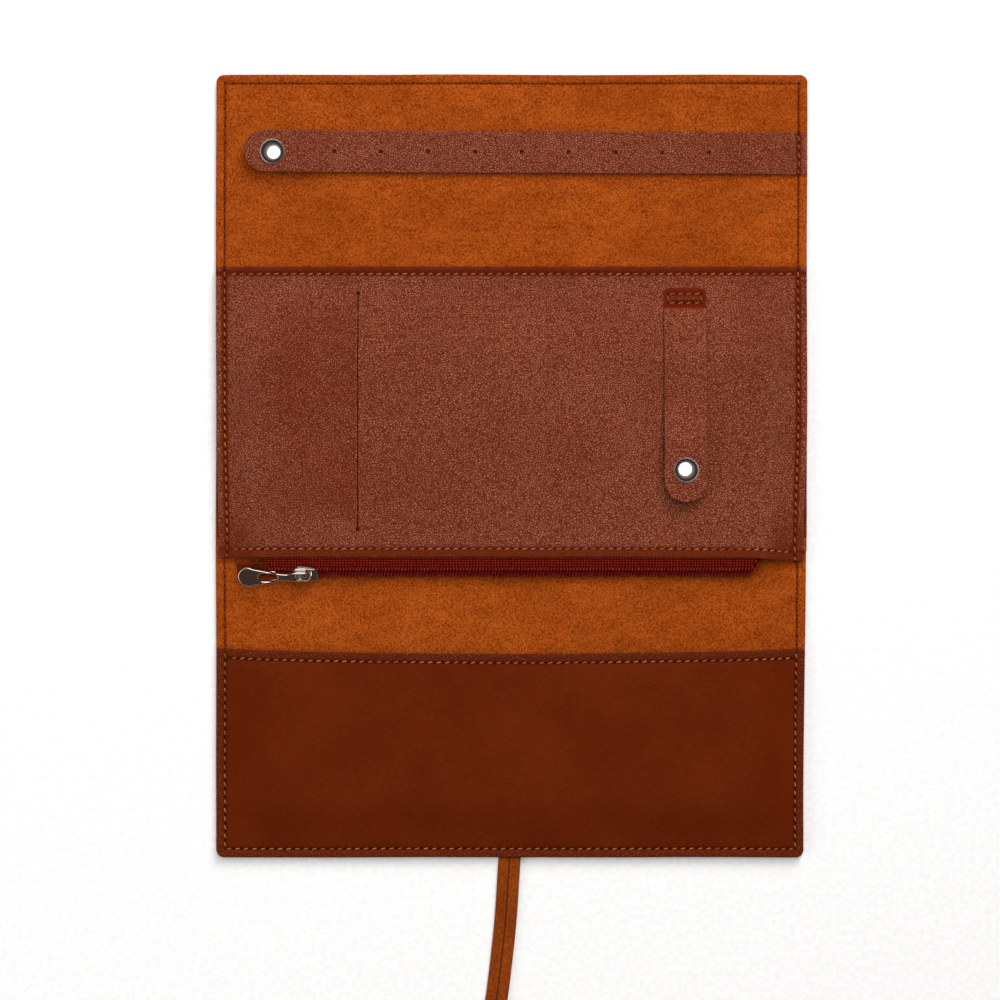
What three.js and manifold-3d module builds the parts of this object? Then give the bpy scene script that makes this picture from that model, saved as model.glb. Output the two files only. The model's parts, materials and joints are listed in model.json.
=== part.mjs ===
// A leather jewellery case that folds in three, laid open flat with its lining up. Millimetres.
// +X is to the right, +Y towards the upper section, +Z up. The origin is under the middle of the
// open case, on the surface that it lies on. A closed case has the upper section folded in first
// and the lower section folded over it.

import * as THREE from "three";
import { mergeVertices } from "three/addons/utils/BufferGeometryUtils.js";
import Module from "manifold-3d";

const wasm = await Module();
wasm.setup();

// ---------------------------------------------------------------- driving dimensions

const CASE_WIDTH = 229;
const CASE_LENGTH = 303;
const CORNER_RADIUS = 3;

const SHELL_THICK = 1.2;
const LINING_THICK = 1.0;
const BOND = 0.05; // glue line or thread height between two layers that are sewn together
const SKIN_GAP = 0.3; // slit between two skins at a fold, so that they turn freely
const CLEARANCE = 0.5; // least air between folded sections

const UPPER_FOLD_Y = 78; // inner fold line of the upper spine
const LOWER_FOLD_Y = -47.6; // inner fold line of the lower spine
const FOLD_LIFT = 0.35; // fold axis above the lining

const SEAM_WIDTH = 3; // sewn margin round the pouch and the pocket
const SIDE_RAMP = 14.5; // width over which a panel rises from its side seam

const POUCH_TOP_Y = 77;
const POUCH_MOUTH_Y = -35.3;
const POUCH_TOP_SEAM = 1;
const POUCH_TOP_RAMP = 26;
const POUCH_BACK_THICK = 0.8;
const BACK_SLOT = 0.6; // narrow slot between the lining and the pouch
const POUCH_DEPTH = 4.6;
const DIVIDER_THICK = 0.5;
const SLIT_SPACE = 0.6;
const FRONT_THICK = 1.2;
const BACK_EDGE_Y = -33;
const DIVIDER_EDGE_Y = -27.5;

const SLIT_X = -59.2;
const SLIT_TOP_Y = 66.6;
const SLIT_BOTTOM_Y = -24.4;
const SLIT_WIDTH = 0.5;
const SLIT_HOLE_RADIUS = 0.9;

const POCKET_MOUTH_Y = -71.2;
const POCKET_DEPTH = 4.5;
const POCKET_THICK = 1.2;
const POCKET_RAMP = 13.5;

const STRAP_THICK = 1.4;
const STRAP_WIDTH = 16.5;
const STRAP_REST = 0.2; // strap above what it lies on
const SNAP_GAP = 2.4; // strap above its panel where it is snapped
const STRAP_HINGE_LIFT = 0.3; // hinge axis above the strap

const EARRING_STRAP_Y = 121.3;
const EARRING_STRAP_TIP_X = -103.4;
const EARRING_HINGE_X = 108;
const EARRING_RISE_FROM_X = -62;
const EARRING_RISE_TO_X = -80;
const EARRING_HOLES = 9;
const EARRING_HOLE_PITCH = 18.1;
const EARRING_HOLE_RADIUS = 0.95;
const FIRST_EARRING_HOLE_X = -68.5;
const EARRING_SNAP_X = -92.3;

const KEEPER_X = 66.8;
const KEEPER_TIP_Y = -14.2;
const KEEPER_HINGE_Y = 61;
const KEEPER_RISE_TO_Y = 8;
const KEEPER_SNAP_Y = -1.7;
const KEEPER_SEWN_LENGTH = 7.5;

const SNAP_CAP_RADIUS = 5;
const SNAP_CAP_RIM = 0.5;
const SNAP_CAP_HEIGHT = 2.2;
const SNAP_POST_RADIUS = 0.9;
const SNAP_SOCKET_RADIUS = 4.2;
const SNAP_SOCKET_HEIGHT = 1.5;
const SNAP_SOCKET_DEPTH = 1.0;
const SNAP_STUD_RADIUS = 3.9;
const SNAP_STUD_FLANGE = 0.5;
const SNAP_BALL_RADIUS = 1.6;
const SNAP_BALL_HEIGHT = 1.5;
const SNAP_EYELET_RADIUS = 2.6;
const SNAP_EYELET_THICK = 0.35;
const SNAP_PIN_RADIUS = 0.7;
const SNAP_FIT = 0.15; // radial clearance of the snap's fitted parts
const SNAP_PLAY = 0.3; // radial clearance of the stud in its socket

const ZIP_TILT = THREE.MathUtils.degToRad(35);
const ZIP_LEFT_X = -95.2;
const ZIP_RIGHT_X = 96.5;
const TAPE_THICK = 0.5;
const TAPE_INSIDE_Y = -28;
const CHAIN_CENTRE = 6.5; // chain centre, measured down the tape from the pouch edge
const CHAIN_SPLIT = 1.0; // space between the two coil rows
const COIL_WIDTH = 1.7;
const COIL_THICK = 1.4;
const STOP_LENGTH = 2;
const STOP_FROM_END = 2.5;
const TAB_LENGTH = 10.5;
const TAB_WIDTH = 5.8;
const TAB_THICK = 1.2;

const SLIDER_X = -79.5;
const SLIDER_LENGTH = 9.4;
const SLIDER_WIDTH = 7.2;
const SLIDER_TAIL_WIDTH = 5.8;
const SLIDER_PLATE = 0.9;
const SLIDER_LIP = 0.6;
const SLIDER_LIP_CLEAR = 0.4;
const SLIDER_PLAY = 0.3;
const SLIDER_WEDGE = 0.7;
const SLIDER_BACK_WIDTH = 4;
const SLIDER_BACK_PLATE = 0.75;
const CROWN_LENGTH = 5.2;
const CROWN_WIDTH = 1.6;
const CROWN_BAR = 0.8;
const CROWN_OPENING = 2.0;

const PULL_LENGTH = 25.8; // from its pivot to its round end
const PULL_THICK = 1.3;
const PULL_END_RADIUS = 4.6;
const PULL_NECK_HALF = 2.2;
const PULL_EYE_HALF = 1.15;
const PULL_EYE_REACH = 3.4;
const PULL_SLOT_CENTRE = 14.3;
const PULL_SLOT_LENGTH = 7.4;
const PULL_SLOT_WIDTH = 3.8;

const TIE_WIDTH = 8.6;
const TIE_THICK = 2.2;
const TIE_LEAD = [
  [-0.8, -151.8],
  [-2.5, -177.6],
  [-5.9, -206.8],
  [-10.2, -232],
  [-13.4, -255],
];
const TIE_COIL_X = 39.5;
const TIE_COIL_Y = -268;
const TIE_COIL_OUTER = 55.2;
const TIE_COIL_INNER = 46.7;
const TIE_COIL_HEIGHT = 9;
const TOUCH_GAP = 0.3;

// ---------------------------------------------------------------- derived heights and places

const HALF_WIDTH = CASE_WIDTH / 2;
const HALF_LENGTH = CASE_LENGTH / 2;
const LINING_UNDER = SHELL_THICK + BOND;
const BASE_TOP = LINING_UNDER + LINING_THICK;
const FOLD_AXIS_Z = BASE_TOP + FOLD_LIFT;

// Layers of the pouch, at their seams and where the pouch is fully open.
const BACK_SEAM = BASE_TOP + BOND;
const DIVIDER_SEAM = BACK_SEAM + POUCH_BACK_THICK + BOND;
const FRONT_SEAM = DIVIDER_SEAM + DIVIDER_THICK + BOND;
const BACK_UNDER = BASE_TOP + BACK_SLOT;
const DIVIDER_UNDER = BACK_UNDER + POUCH_BACK_THICK + POUCH_DEPTH;
const FRONT_UNDER = DIVIDER_UNDER + DIVIDER_THICK + SLIT_SPACE;
const FRONT_TOP = FRONT_UNDER + FRONT_THICK;

const POCKET_SEAM = BASE_TOP + BOND;
const POCKET_UNDER = BASE_TOP + POCKET_DEPTH;
const POCKET_TOP = POCKET_UNDER + POCKET_THICK;

// The spines are as wide as the closed case is thick.
const EARRING_CAP_TOP = BASE_TOP + SNAP_GAP + STRAP_THICK + SNAP_CAP_HEIGHT;
const UPPER_STACK = FRONT_TOP + EARRING_CAP_TOP + CLEARANCE;
const LOWER_STACK = UPPER_STACK + POCKET_TOP + CLEARANCE;
const UPPER_OUTER_FOLD_Y = UPPER_FOLD_Y + UPPER_STACK - 2 * FOLD_AXIS_Z;
const LOWER_OUTER_FOLD_Y = LOWER_FOLD_Y - LOWER_STACK + 2 * FOLD_AXIS_Z;

const COIL_START = CHAIN_SPLIT / 2;
const PLATE_UNDER = BOND + COIL_THICK + SLIDER_PLAY;
const PLATE_TOP = PLATE_UNDER + SLIDER_PLATE;
const PULL_AXIS_HEIGHT = PLATE_TOP + CROWN_OPENING / 2;

// ---------------------------------------------------------------- materials

function finish(color, roughness, metalness = 0) {
  return new THREE.MeshStandardMaterial({ color, roughness, metalness });
}

const shellLeather = finish(0x6e3418, 0.6);
const suede = finish(0xa44913, 0.95);
const pebbledLeather = finish(0x7a3a20, 0.5);
const pocketLeather = finish(0x62220b, 0.65);
const tapeCloth = finish(0x58120c, 0.9);
const coilNylon = finish(0x6e190f, 0.45);
const nickel = finish(0xc9c9cc, 0.2, 1);
const tieSuede = finish(0x8e4a22, 0.9);

// ---------------------------------------------------------------- geometry helpers

function solidOf(geometry) {
  const bare = geometry.clone();
  bare.deleteAttribute("normal");
  bare.deleteAttribute("uv");
  const merged = mergeVertices(bare, 1e-4);
  const mesh = new wasm.Mesh({
    numProp: 3,
    vertProperties: merged.attributes.position.array,
    triVerts: new Uint32Array(merged.index.array),
  });
  return new wasm.Manifold(mesh);
}

function geometryOf(solid) {
  const mesh = solid.getMesh();
  const geometry = new THREE.BufferGeometry();
  geometry.setAttribute("position", new THREE.BufferAttribute(mesh.vertProperties, 3));
  geometry.setIndex(new THREE.BufferAttribute(mesh.triVerts, 1));
  geometry.computeVertexNormals();
  return geometry;
}

function cut(geometry, tools) {
  let solid = solidOf(geometry);
  for (const tool of tools) solid = solid.subtract(solidOf(tool));
  return geometryOf(solid);
}

function common(a, b) {
  return geometryOf(solidOf(a).intersect(solidOf(b)));
}

function joined(a, b) {
  return geometryOf(solidOf(a).add(solidOf(b)));
}

function box(x0, x1, y0, y1, z0, z1) {
  const geometry = new THREE.BoxGeometry(x1 - x0, y1 - y0, z1 - z0);
  return geometry.translate((x0 + x1) / 2, (y0 + y1) / 2, (z0 + z1) / 2);
}

function outlineOf(points) {
  return new THREE.Shape(points.map(([a, b]) => new THREE.Vector2(a, b)));
}

// An outline in X and Y, from z0 up to z1.
function prism(shape, z0, z1, curveSegments = 8) {
  const options = { depth: z1 - z0, bevelEnabled: false, curveSegments };
  return new THREE.ExtrudeGeometry(shape, options).translate(0, 0, z0);
}

// A profile in Y and Z, from x0 to x1.
function alongX(points, x0, x1) {
  const geometry = prism(outlineOf(points), x0, x1);
  const axes = new THREE.Matrix4().makeBasis(
    new THREE.Vector3(0, 1, 0),
    new THREE.Vector3(0, 0, 1),
    new THREE.Vector3(1, 0, 0),
  );
  return geometry.applyMatrix4(axes);
}

// A profile in X and Z, from y0 to y1.
function alongY(points, y0, y1) {
  const geometry = prism(outlineOf(points), -y1, -y0);
  const axes = new THREE.Matrix4().makeBasis(
    new THREE.Vector3(1, 0, 0),
    new THREE.Vector3(0, 0, 1),
    new THREE.Vector3(0, -1, 0),
  );
  return geometry.applyMatrix4(axes);
}

function turned(profile, x, y, segments = 20) {
  const points = profile.map(([r, z]) => new THREE.Vector2(r, z));
  const geometry = new THREE.LatheGeometry(points, segments);
  return geometry.rotateX(Math.PI / 2).translate(x, y, 0);
}

function drill(radius, x, y, z0, z1, segments = 12) {
  const profile = [[0, z0], [radius, z0], [radius, z1], [0, z1]];
  return turned(profile, x, y, segments);
}

// A sheet on a grid of xs and ys, with its underside at under(x, y).
function sheet(xs, ys, under, thick) {
  const positions = [];
  for (const lift of [0, thick]) {
    for (const y of ys) for (const x of xs) positions.push(x, y, under(x, y) + lift);
  }
  const layer = xs.length * ys.length;
  const at = (i, j, top) => top * layer + j * xs.length + i;
  const faces = [];
  const quad = (a, b, c, d) => faces.push(a, b, c, a, c, d);
  for (let j = 0; j + 1 < ys.length; j++) {
    for (let i = 0; i + 1 < xs.length; i++) {
      quad(at(i, j, 1), at(i + 1, j, 1), at(i + 1, j + 1, 1), at(i, j + 1, 1));
      quad(at(i, j, 0), at(i, j + 1, 0), at(i + 1, j + 1, 0), at(i + 1, j, 0));
    }
  }
  const right = xs.length - 1;
  const far = ys.length - 1;
  for (let i = 0; i < right; i++) {
    quad(at(i, 0, 0), at(i + 1, 0, 0), at(i + 1, 0, 1), at(i, 0, 1));
    quad(at(i + 1, far, 0), at(i, far, 0), at(i, far, 1), at(i + 1, far, 1));
  }
  for (let j = 0; j < far; j++) {
    quad(at(0, j + 1, 0), at(0, j, 0), at(0, j, 1), at(0, j + 1, 1));
    quad(at(right, j, 0), at(right, j + 1, 0), at(right, j + 1, 1), at(right, j, 1));
  }
  const geometry = new THREE.BufferGeometry();
  geometry.setAttribute("position", new THREE.Float32BufferAttribute(positions, 3));
  geometry.setIndex(faces);
  geometry.computeVertexNormals();
  return geometry;
}

function part(name, geometry, material, parent) {
  const mesh = new THREE.Mesh(geometry, material);
  mesh.name = name;
  parent.add(mesh);
}

// ---------------------------------------------------------------- skins: shell and lining

const zones = [
  { name: "lower", from: -HALF_LENGTH, to: LOWER_OUTER_FOLD_Y },
  { name: "lower_spine", from: LOWER_OUTER_FOLD_Y, to: LOWER_FOLD_Y },
  { name: "middle", from: LOWER_FOLD_Y, to: UPPER_FOLD_Y },
  { name: "upper_spine", from: UPPER_FOLD_Y, to: UPPER_OUTER_FOLD_Y },
  { name: "upper", from: UPPER_OUTER_FOLD_Y, to: HALF_LENGTH },
];

// A zone reaches the case's end, or stops half a skin gap short of its fold.
function zoneOutline(zone) {
  const low = zone.from > -HALF_LENGTH ? zone.from + SKIN_GAP / 2 : zone.from;
  const high = zone.to < HALF_LENGTH ? zone.to - SKIN_GAP / 2 : zone.to;
  const lowRadius = zone.from > -HALF_LENGTH ? 0 : CORNER_RADIUS;
  const highRadius = zone.to < HALF_LENGTH ? 0 : CORNER_RADIUS;
  const shape = new THREE.Shape();
  shape.moveTo(-HALF_WIDTH + lowRadius, low);
  shape.lineTo(HALF_WIDTH - lowRadius, low);
  if (lowRadius) shape.absarc(HALF_WIDTH - lowRadius, low + lowRadius, lowRadius, -Math.PI / 2, 0);
  shape.lineTo(HALF_WIDTH, high - highRadius);
  if (highRadius) shape.absarc(HALF_WIDTH - highRadius, high - highRadius, highRadius, 0, Math.PI / 2);
  shape.lineTo(-HALF_WIDTH + highRadius, high);
  if (highRadius) {
    shape.absarc(-HALF_WIDTH + highRadius, high - highRadius, highRadius, Math.PI / 2, Math.PI);
  }
  shape.lineTo(-HALF_WIDTH, low + lowRadius);
  if (lowRadius) {
    shape.absarc(-HALF_WIDTH + lowRadius, low + lowRadius, lowRadius, Math.PI, 1.5 * Math.PI);
  }
  return shape;
}

function makeSkins(root) {
  for (const zone of zones) {
    const outline = zoneOutline(zone);
    part("shell_" + zone.name, prism(outline, 0, SHELL_THICK, 4), shellLeather, root);
    let lining = prism(outline, LINING_UNDER, BASE_TOP, 4);
    if (zone.name === "upper") {
      const y = EARRING_STRAP_Y;
      const recessTop = LINING_UNDER + SNAP_EYELET_THICK + 2 * BOND;
      lining = cut(lining, [
        drill(SNAP_EYELET_RADIUS + SNAP_PLAY, EARRING_SNAP_X, y, LINING_UNDER - 1, recessTop),
        drill(SNAP_PIN_RADIUS + SNAP_FIT, EARRING_SNAP_X, y, LINING_UNDER - 1, BASE_TOP + 1),
      ]);
    }
    part("lining_" + zone.name, lining, suede, root);
  }
}

// ---------------------------------------------------------------- panels

function ramp(distance, length) {
  return Math.min(1, Math.max(0, distance / length));
}

function sideRise(x) {
  return ramp(HALF_WIDTH - SEAM_WIDTH - Math.abs(x), SIDE_RAMP);
}

function pouchRise(x, y) {
  return sideRise(x) * ramp(POUCH_TOP_Y - POUCH_TOP_SEAM - y, POUCH_TOP_RAMP);
}

function frontTop(x, y) {
  return FRONT_SEAM + FRONT_THICK + (FRONT_UNDER - FRONT_SEAM) * pouchRise(x, y);
}

function panelXs() {
  const seam = HALF_WIDTH - SEAM_WIDTH;
  const side = [HALF_WIDTH, seam, seam - SIDE_RAMP / 2, seam - SIDE_RAMP];
  return [...side.map((x) => -x), 0, ...side.reverse()];
}

function pouchYs(low) {
  const seam = POUCH_TOP_Y - POUCH_TOP_SEAM;
  return [low, seam - POUCH_TOP_RAMP, seam - POUCH_TOP_RAMP / 2, seam, POUCH_TOP_Y];
}

function slitTools() {
  const above = FRONT_TOP + 1;
  const half = SLIT_WIDTH / 2;
  return [
    box(SLIT_X - half, SLIT_X + half, SLIT_BOTTOM_Y, SLIT_TOP_Y, 0, above),
    drill(SLIT_HOLE_RADIUS, SLIT_X, SLIT_BOTTOM_Y, 0, above),
    drill(SLIT_HOLE_RADIUS, SLIT_X, SLIT_TOP_Y, 0, above),
  ];
}

function makePouch(root) {
  const layer = (low, seam, open, thick) =>
    sheet(panelXs(), pouchYs(low), (x, y) => seam + (open - seam) * pouchRise(x, y), thick);
  const pin = drill(SNAP_PIN_RADIUS + SNAP_FIT, KEEPER_X, KEEPER_SNAP_Y, 0, FRONT_TOP + 1);
  const front = cut(layer(POUCH_MOUTH_Y, FRONT_SEAM, FRONT_UNDER, FRONT_THICK), [
    ...slitTools(),
    pin,
  ]);
  part("pouch_front_panel", front, pebbledLeather, root);
  const divider = layer(DIVIDER_EDGE_Y, DIVIDER_SEAM, DIVIDER_UNDER, DIVIDER_THICK);
  part("slit_pocket_lining", divider, pocketLeather, root);
  const back = layer(BACK_EDGE_Y, BACK_SEAM, BACK_UNDER, POUCH_BACK_THICK);
  part("pouch_back_panel", back, suede, root);
}

function makeLowerPocket(root) {
  const seam = -HALF_LENGTH + SEAM_WIDTH;
  const under = (x, y) =>
    POCKET_SEAM + (POCKET_UNDER - POCKET_SEAM) * sideRise(x) * ramp(y - seam, POCKET_RAMP);
  const ys = [-HALF_LENGTH, seam, seam + POCKET_RAMP / 2, seam + POCKET_RAMP, POCKET_MOUTH_Y];
  part("lower_pocket_panel", sheet(panelXs(), ys, under, POCKET_THICK), pocketLeather, root);
}

// ---------------------------------------------------------------- straps

function earringStrapOutline() {
  const half = STRAP_WIDTH / 2;
  const y = EARRING_STRAP_Y;
  const shape = new THREE.Shape();
  shape.moveTo(EARRING_HINGE_X - SKIN_GAP / 2, y - half);
  shape.lineTo(EARRING_HINGE_X - SKIN_GAP / 2, y + half);
  shape.absarc(EARRING_STRAP_TIP_X + half, y, half, Math.PI / 2, 1.5 * Math.PI);
  return shape;
}

function makeEarringStrap(root) {
  const half = STRAP_WIDTH / 2;
  const y = EARRING_STRAP_Y;
  const low = BASE_TOP + STRAP_REST;
  const high = BASE_TOP + SNAP_GAP;
  const edge = EARRING_STRAP_TIP_X - 1;
  const unders = [
    [edge, high],
    [EARRING_RISE_TO_X, high],
    [EARRING_RISE_FROM_X, low],
    [EARRING_HINGE_X, low],
  ];
  const tops = unders.map(([x, z]) => [x, z + STRAP_THICK]).reverse();
  const band = alongY([...unders, ...tops], y - half - 1, y + half + 1);
  const blank = common(band, prism(earringStrapOutline(), 0, EARRING_CAP_TOP));
  const holes = [drill(SNAP_POST_RADIUS + SNAP_FIT, EARRING_SNAP_X, y, 0, EARRING_CAP_TOP)];
  for (let i = 0; i < EARRING_HOLES; i++) {
    const x = FIRST_EARRING_HOLE_X + i * EARRING_HOLE_PITCH;
    holes.push(drill(EARRING_HOLE_RADIUS, x, y, 0, EARRING_CAP_TOP, 10));
  }
  part("earring_strap", cut(blank, holes), pebbledLeather, root);

  const z = BASE_TOP + BOND;
  const start = EARRING_HINGE_X + SKIN_GAP / 2;
  const end = box(start, HALF_WIDTH, y - half, y + half, z, z + STRAP_THICK);
  part("earring_strap_sewn_end", end, pebbledLeather, root);
}

function keeperOutline() {
  const half = STRAP_WIDTH / 2;
  const top = KEEPER_HINGE_Y - SKIN_GAP / 2;
  const shape = new THREE.Shape();
  shape.moveTo(KEEPER_X + half, top);
  shape.lineTo(KEEPER_X - half, top);
  shape.absarc(KEEPER_X, KEEPER_TIP_Y + half, half, Math.PI, 2 * Math.PI);
  return shape;
}

function makeKeeperStrap(root) {
  const half = STRAP_WIDTH / 2;
  const shoulder = POUCH_TOP_Y - POUCH_TOP_SEAM - POUCH_TOP_RAMP;
  const high = FRONT_TOP + SNAP_GAP;
  const unders = [
    [KEEPER_TIP_Y - 1, high],
    [KEEPER_RISE_TO_Y, high],
    [shoulder, FRONT_TOP + STRAP_REST],
    [KEEPER_HINGE_Y, frontTop(KEEPER_X, KEEPER_HINGE_Y) + STRAP_REST],
  ];
  const tops = unders.map(([y, z]) => [y, z + STRAP_THICK]).reverse();
  const band = alongX([...unders, ...tops], KEEPER_X - half - 1, KEEPER_X + half + 1);
  const above = high + STRAP_THICK + 1;
  const blank = common(band, prism(keeperOutline(), 0, above));
  const post = drill(SNAP_POST_RADIUS + SNAP_FIT, KEEPER_X, KEEPER_SNAP_Y, 0, above);
  part("keeper_strap", cut(blank, [post]), pebbledLeather, root);

  const from = KEEPER_HINGE_Y + SKIN_GAP / 2;
  const to = from + KEEPER_SEWN_LENGTH;
  const z = (y) => frontTop(KEEPER_X, y) + BOND;
  const profile = [
    [from, z(from)],
    [to, z(to)],
    [to, z(to) + STRAP_THICK],
    [from, z(from) + STRAP_THICK],
  ];
  const end = alongX(profile.reverse(), KEEPER_X - half, KEEPER_X + half);
  part("keeper_strap_sewn_end", end, pebbledLeather, root);
}

// ---------------------------------------------------------------- press studs

// One press stud at (x, y): its stud and eyelet hold to a panel, its cap and socket to a strap.
function makeSnap(prefix, x, y, panelTop, eyeletUnder, root) {
  const strapUnder = panelTop + SNAP_GAP;
  const strapTop = strapUnder + STRAP_THICK;

  const stud = panelTop + BOND;
  const neck = SNAP_BALL_RADIUS - 0.25;
  const bore = SNAP_PIN_RADIUS + SNAP_FIT;
  const studProfile = [
    [bore, stud],
    [SNAP_STUD_RADIUS, stud],
    [SNAP_STUD_RADIUS, stud + SNAP_STUD_FLANGE],
    [neck, stud + SNAP_STUD_FLANGE],
    [SNAP_BALL_RADIUS, stud + (SNAP_STUD_FLANGE + SNAP_BALL_HEIGHT) / 2],
    [neck, stud + SNAP_BALL_HEIGHT],
    [bore, stud + SNAP_BALL_HEIGHT],
    [bore, stud],
  ];
  part(prefix + "_snap_stud", turned(studProfile, x, y), nickel, root);

  const pinTop = stud + SNAP_BALL_HEIGHT - SNAP_FIT;
  const eyeletProfile = [
    [0, eyeletUnder],
    [SNAP_EYELET_RADIUS, eyeletUnder],
    [SNAP_EYELET_RADIUS, eyeletUnder + SNAP_EYELET_THICK],
    [SNAP_PIN_RADIUS, eyeletUnder + SNAP_EYELET_THICK],
    [SNAP_PIN_RADIUS, pinTop],
    [0, pinTop],
  ];
  part(prefix + "_snap_eyelet", turned(eyeletProfile, x, y), nickel, root);

  const socketTop = strapUnder - BOND;
  const socketUnder = socketTop - SNAP_SOCKET_HEIGHT;
  const cavity = SNAP_BALL_RADIUS + SNAP_PLAY;
  const throat = SNAP_POST_RADIUS + SNAP_FIT;
  const socketProfile = [
    [cavity, socketUnder],
    [SNAP_SOCKET_RADIUS, socketUnder],
    [SNAP_SOCKET_RADIUS, socketTop],
    [throat, socketTop],
    [throat, socketUnder + SNAP_SOCKET_DEPTH],
    [cavity, socketUnder + SNAP_SOCKET_DEPTH],
    [cavity, socketUnder],
  ];
  part(prefix + "_snap_socket", turned(socketProfile, x, y), nickel, root);

  const rim = strapTop + BOND;
  const capProfile = [
    [0, socketUnder + SNAP_SOCKET_DEPTH + BOND],
    [SNAP_POST_RADIUS, socketUnder + SNAP_SOCKET_DEPTH + BOND],
    [SNAP_POST_RADIUS, rim],
    [SNAP_CAP_RADIUS, rim],
  ];
  const domeSteps = 5;
  const domeHeight = SNAP_CAP_HEIGHT - SNAP_CAP_RIM - BOND;
  for (let i = 0; i <= domeSteps; i++) {
    const angle = (i / domeSteps) * (Math.PI / 2);
    const radius = i === domeSteps ? 0 : SNAP_CAP_RADIUS * Math.cos(angle);
    capProfile.push([radius, rim + SNAP_CAP_RIM + domeHeight * Math.sin(angle)]);
  }
  part(prefix + "_snap_cap", turned(capProfile, x, y, 24), nickel, root);
}

function makeSnaps(root) {
  makeSnap("earring", EARRING_SNAP_X, EARRING_STRAP_Y, BASE_TOP, LINING_UNDER + BOND, root);
  const eyeletUnder = FRONT_UNDER - BOND - SNAP_EYELET_THICK;
  makeSnap("keeper", KEEPER_X, KEEPER_SNAP_Y, FRONT_TOP, eyeletUnder, root);
}

// ---------------------------------------------------------------- zip

// The tape leaves the pouch's edge here and runs down at ZIP_TILT. Chain coordinates: along the
// case, across the tape (negative is down the slope), and out of the tape's face.
const TAPE_BEND_Y = POUCH_MOUTH_Y - 0.1;
const TAPE_BEND_Z = FRONT_UNDER - BOND;

// The point that lies `down` along the slope and `out` of the face, in Y and Z.
function slopePoint(down, out) {
  const c = Math.cos(ZIP_TILT);
  const s = Math.sin(ZIP_TILT);
  return [TAPE_BEND_Y - down * c - out * s, TAPE_BEND_Z - down * s + out * c];
}

function makeTapes(root) {
  const upperEnd = CHAIN_CENTRE - COIL_START;
  const bendInner = TAPE_THICK * Math.tan(ZIP_TILT / 2);
  const upper = [
    [TAPE_INSIDE_Y, TAPE_BEND_Z],
    [TAPE_BEND_Y, TAPE_BEND_Z],
    slopePoint(upperEnd, 0),
    slopePoint(upperEnd, -TAPE_THICK),
    [TAPE_BEND_Y + bendInner, TAPE_BEND_Z - TAPE_THICK],
    [TAPE_INSIDE_Y, TAPE_BEND_Z - TAPE_THICK],
  ];
  part("zip_tape_upper", alongX(upper, ZIP_LEFT_X, ZIP_RIGHT_X), tapeCloth, root);

  const lowerStart = CHAIN_CENTRE + COIL_START;
  const lowerEnd = lowerStart + COIL_WIDTH + 0.2;
  const floor = BASE_TOP + BOND;
  const [foldY] = slopePoint(lowerEnd, 0);
  const foldOut = 0.8; // the tape's fold back under the pouch starts this far inside its lower edge
  const lower = [
    slopePoint(lowerStart, 0),
    slopePoint(lowerEnd, 0),
    [foldY + foldOut, floor],
    [TAPE_INSIDE_Y, floor],
    [TAPE_INSIDE_Y, floor + TAPE_THICK - BOND],
    [foldY + foldOut + TAPE_THICK, floor + TAPE_THICK - BOND],
    slopePoint(lowerEnd - TAPE_THICK / 2, -TAPE_THICK),
    slopePoint(lowerStart, -TAPE_THICK),
  ];
  part("zip_tape_lower", alongX(lower, ZIP_LEFT_X, ZIP_RIGHT_X), tapeCloth, root);
}

function makeChain(zip) {
  const stop = ZIP_RIGHT_X - STOP_FROM_END;
  const coilEnd = stop - STOP_LENGTH - SKIN_GAP;
  const outer = COIL_START + COIL_WIDTH;
  const row = (name, low, high) =>
    part(name, box(ZIP_LEFT_X, coilEnd, low, high, BOND, BOND + COIL_THICK), coilNylon, zip);
  row("zip_coil_upper", -CHAIN_CENTRE + COIL_START, -CHAIN_CENTRE + outer);
  row("zip_coil_lower", -CHAIN_CENTRE - outer, -CHAIN_CENTRE - COIL_START);
  const stopBox = box(stop - STOP_LENGTH, stop, -CHAIN_CENTRE - outer, -CHAIN_CENTRE + outer, BOND, BOND + COIL_THICK);
  part("zip_stop", stopBox, nickel, zip);
  const tabEnd = ZIP_LEFT_X - TOUCH_GAP;
  const tab = box(
    tabEnd - TAB_LENGTH,
    tabEnd,
    -CHAIN_CENTRE + 1 - TAB_WIDTH / 2,
    -CHAIN_CENTRE + 1 + TAB_WIDTH / 2,
    -TAPE_THICK,
    TAB_THICK - TAPE_THICK,
  );
  part("zip_end_tab", tab, pebbledLeather, zip);
}

function sliderOutline() {
  const half = SLIDER_LENGTH / 2;
  const shoulder = SLIDER_WIDTH / 2;
  const tail = SLIDER_TAIL_WIDTH / 2;
  const chamfer = 1.1;
  const side = [
    [-half, shoulder - chamfer],
    [-half + chamfer, shoulder],
    [0, shoulder],
    [half - chamfer, tail],
    [half, tail - chamfer],
  ];
  const mirrored = side.map(([x, y]) => [x, -y]).reverse();
  return outlineOf([...side, ...mirrored].reverse());
}

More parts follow.
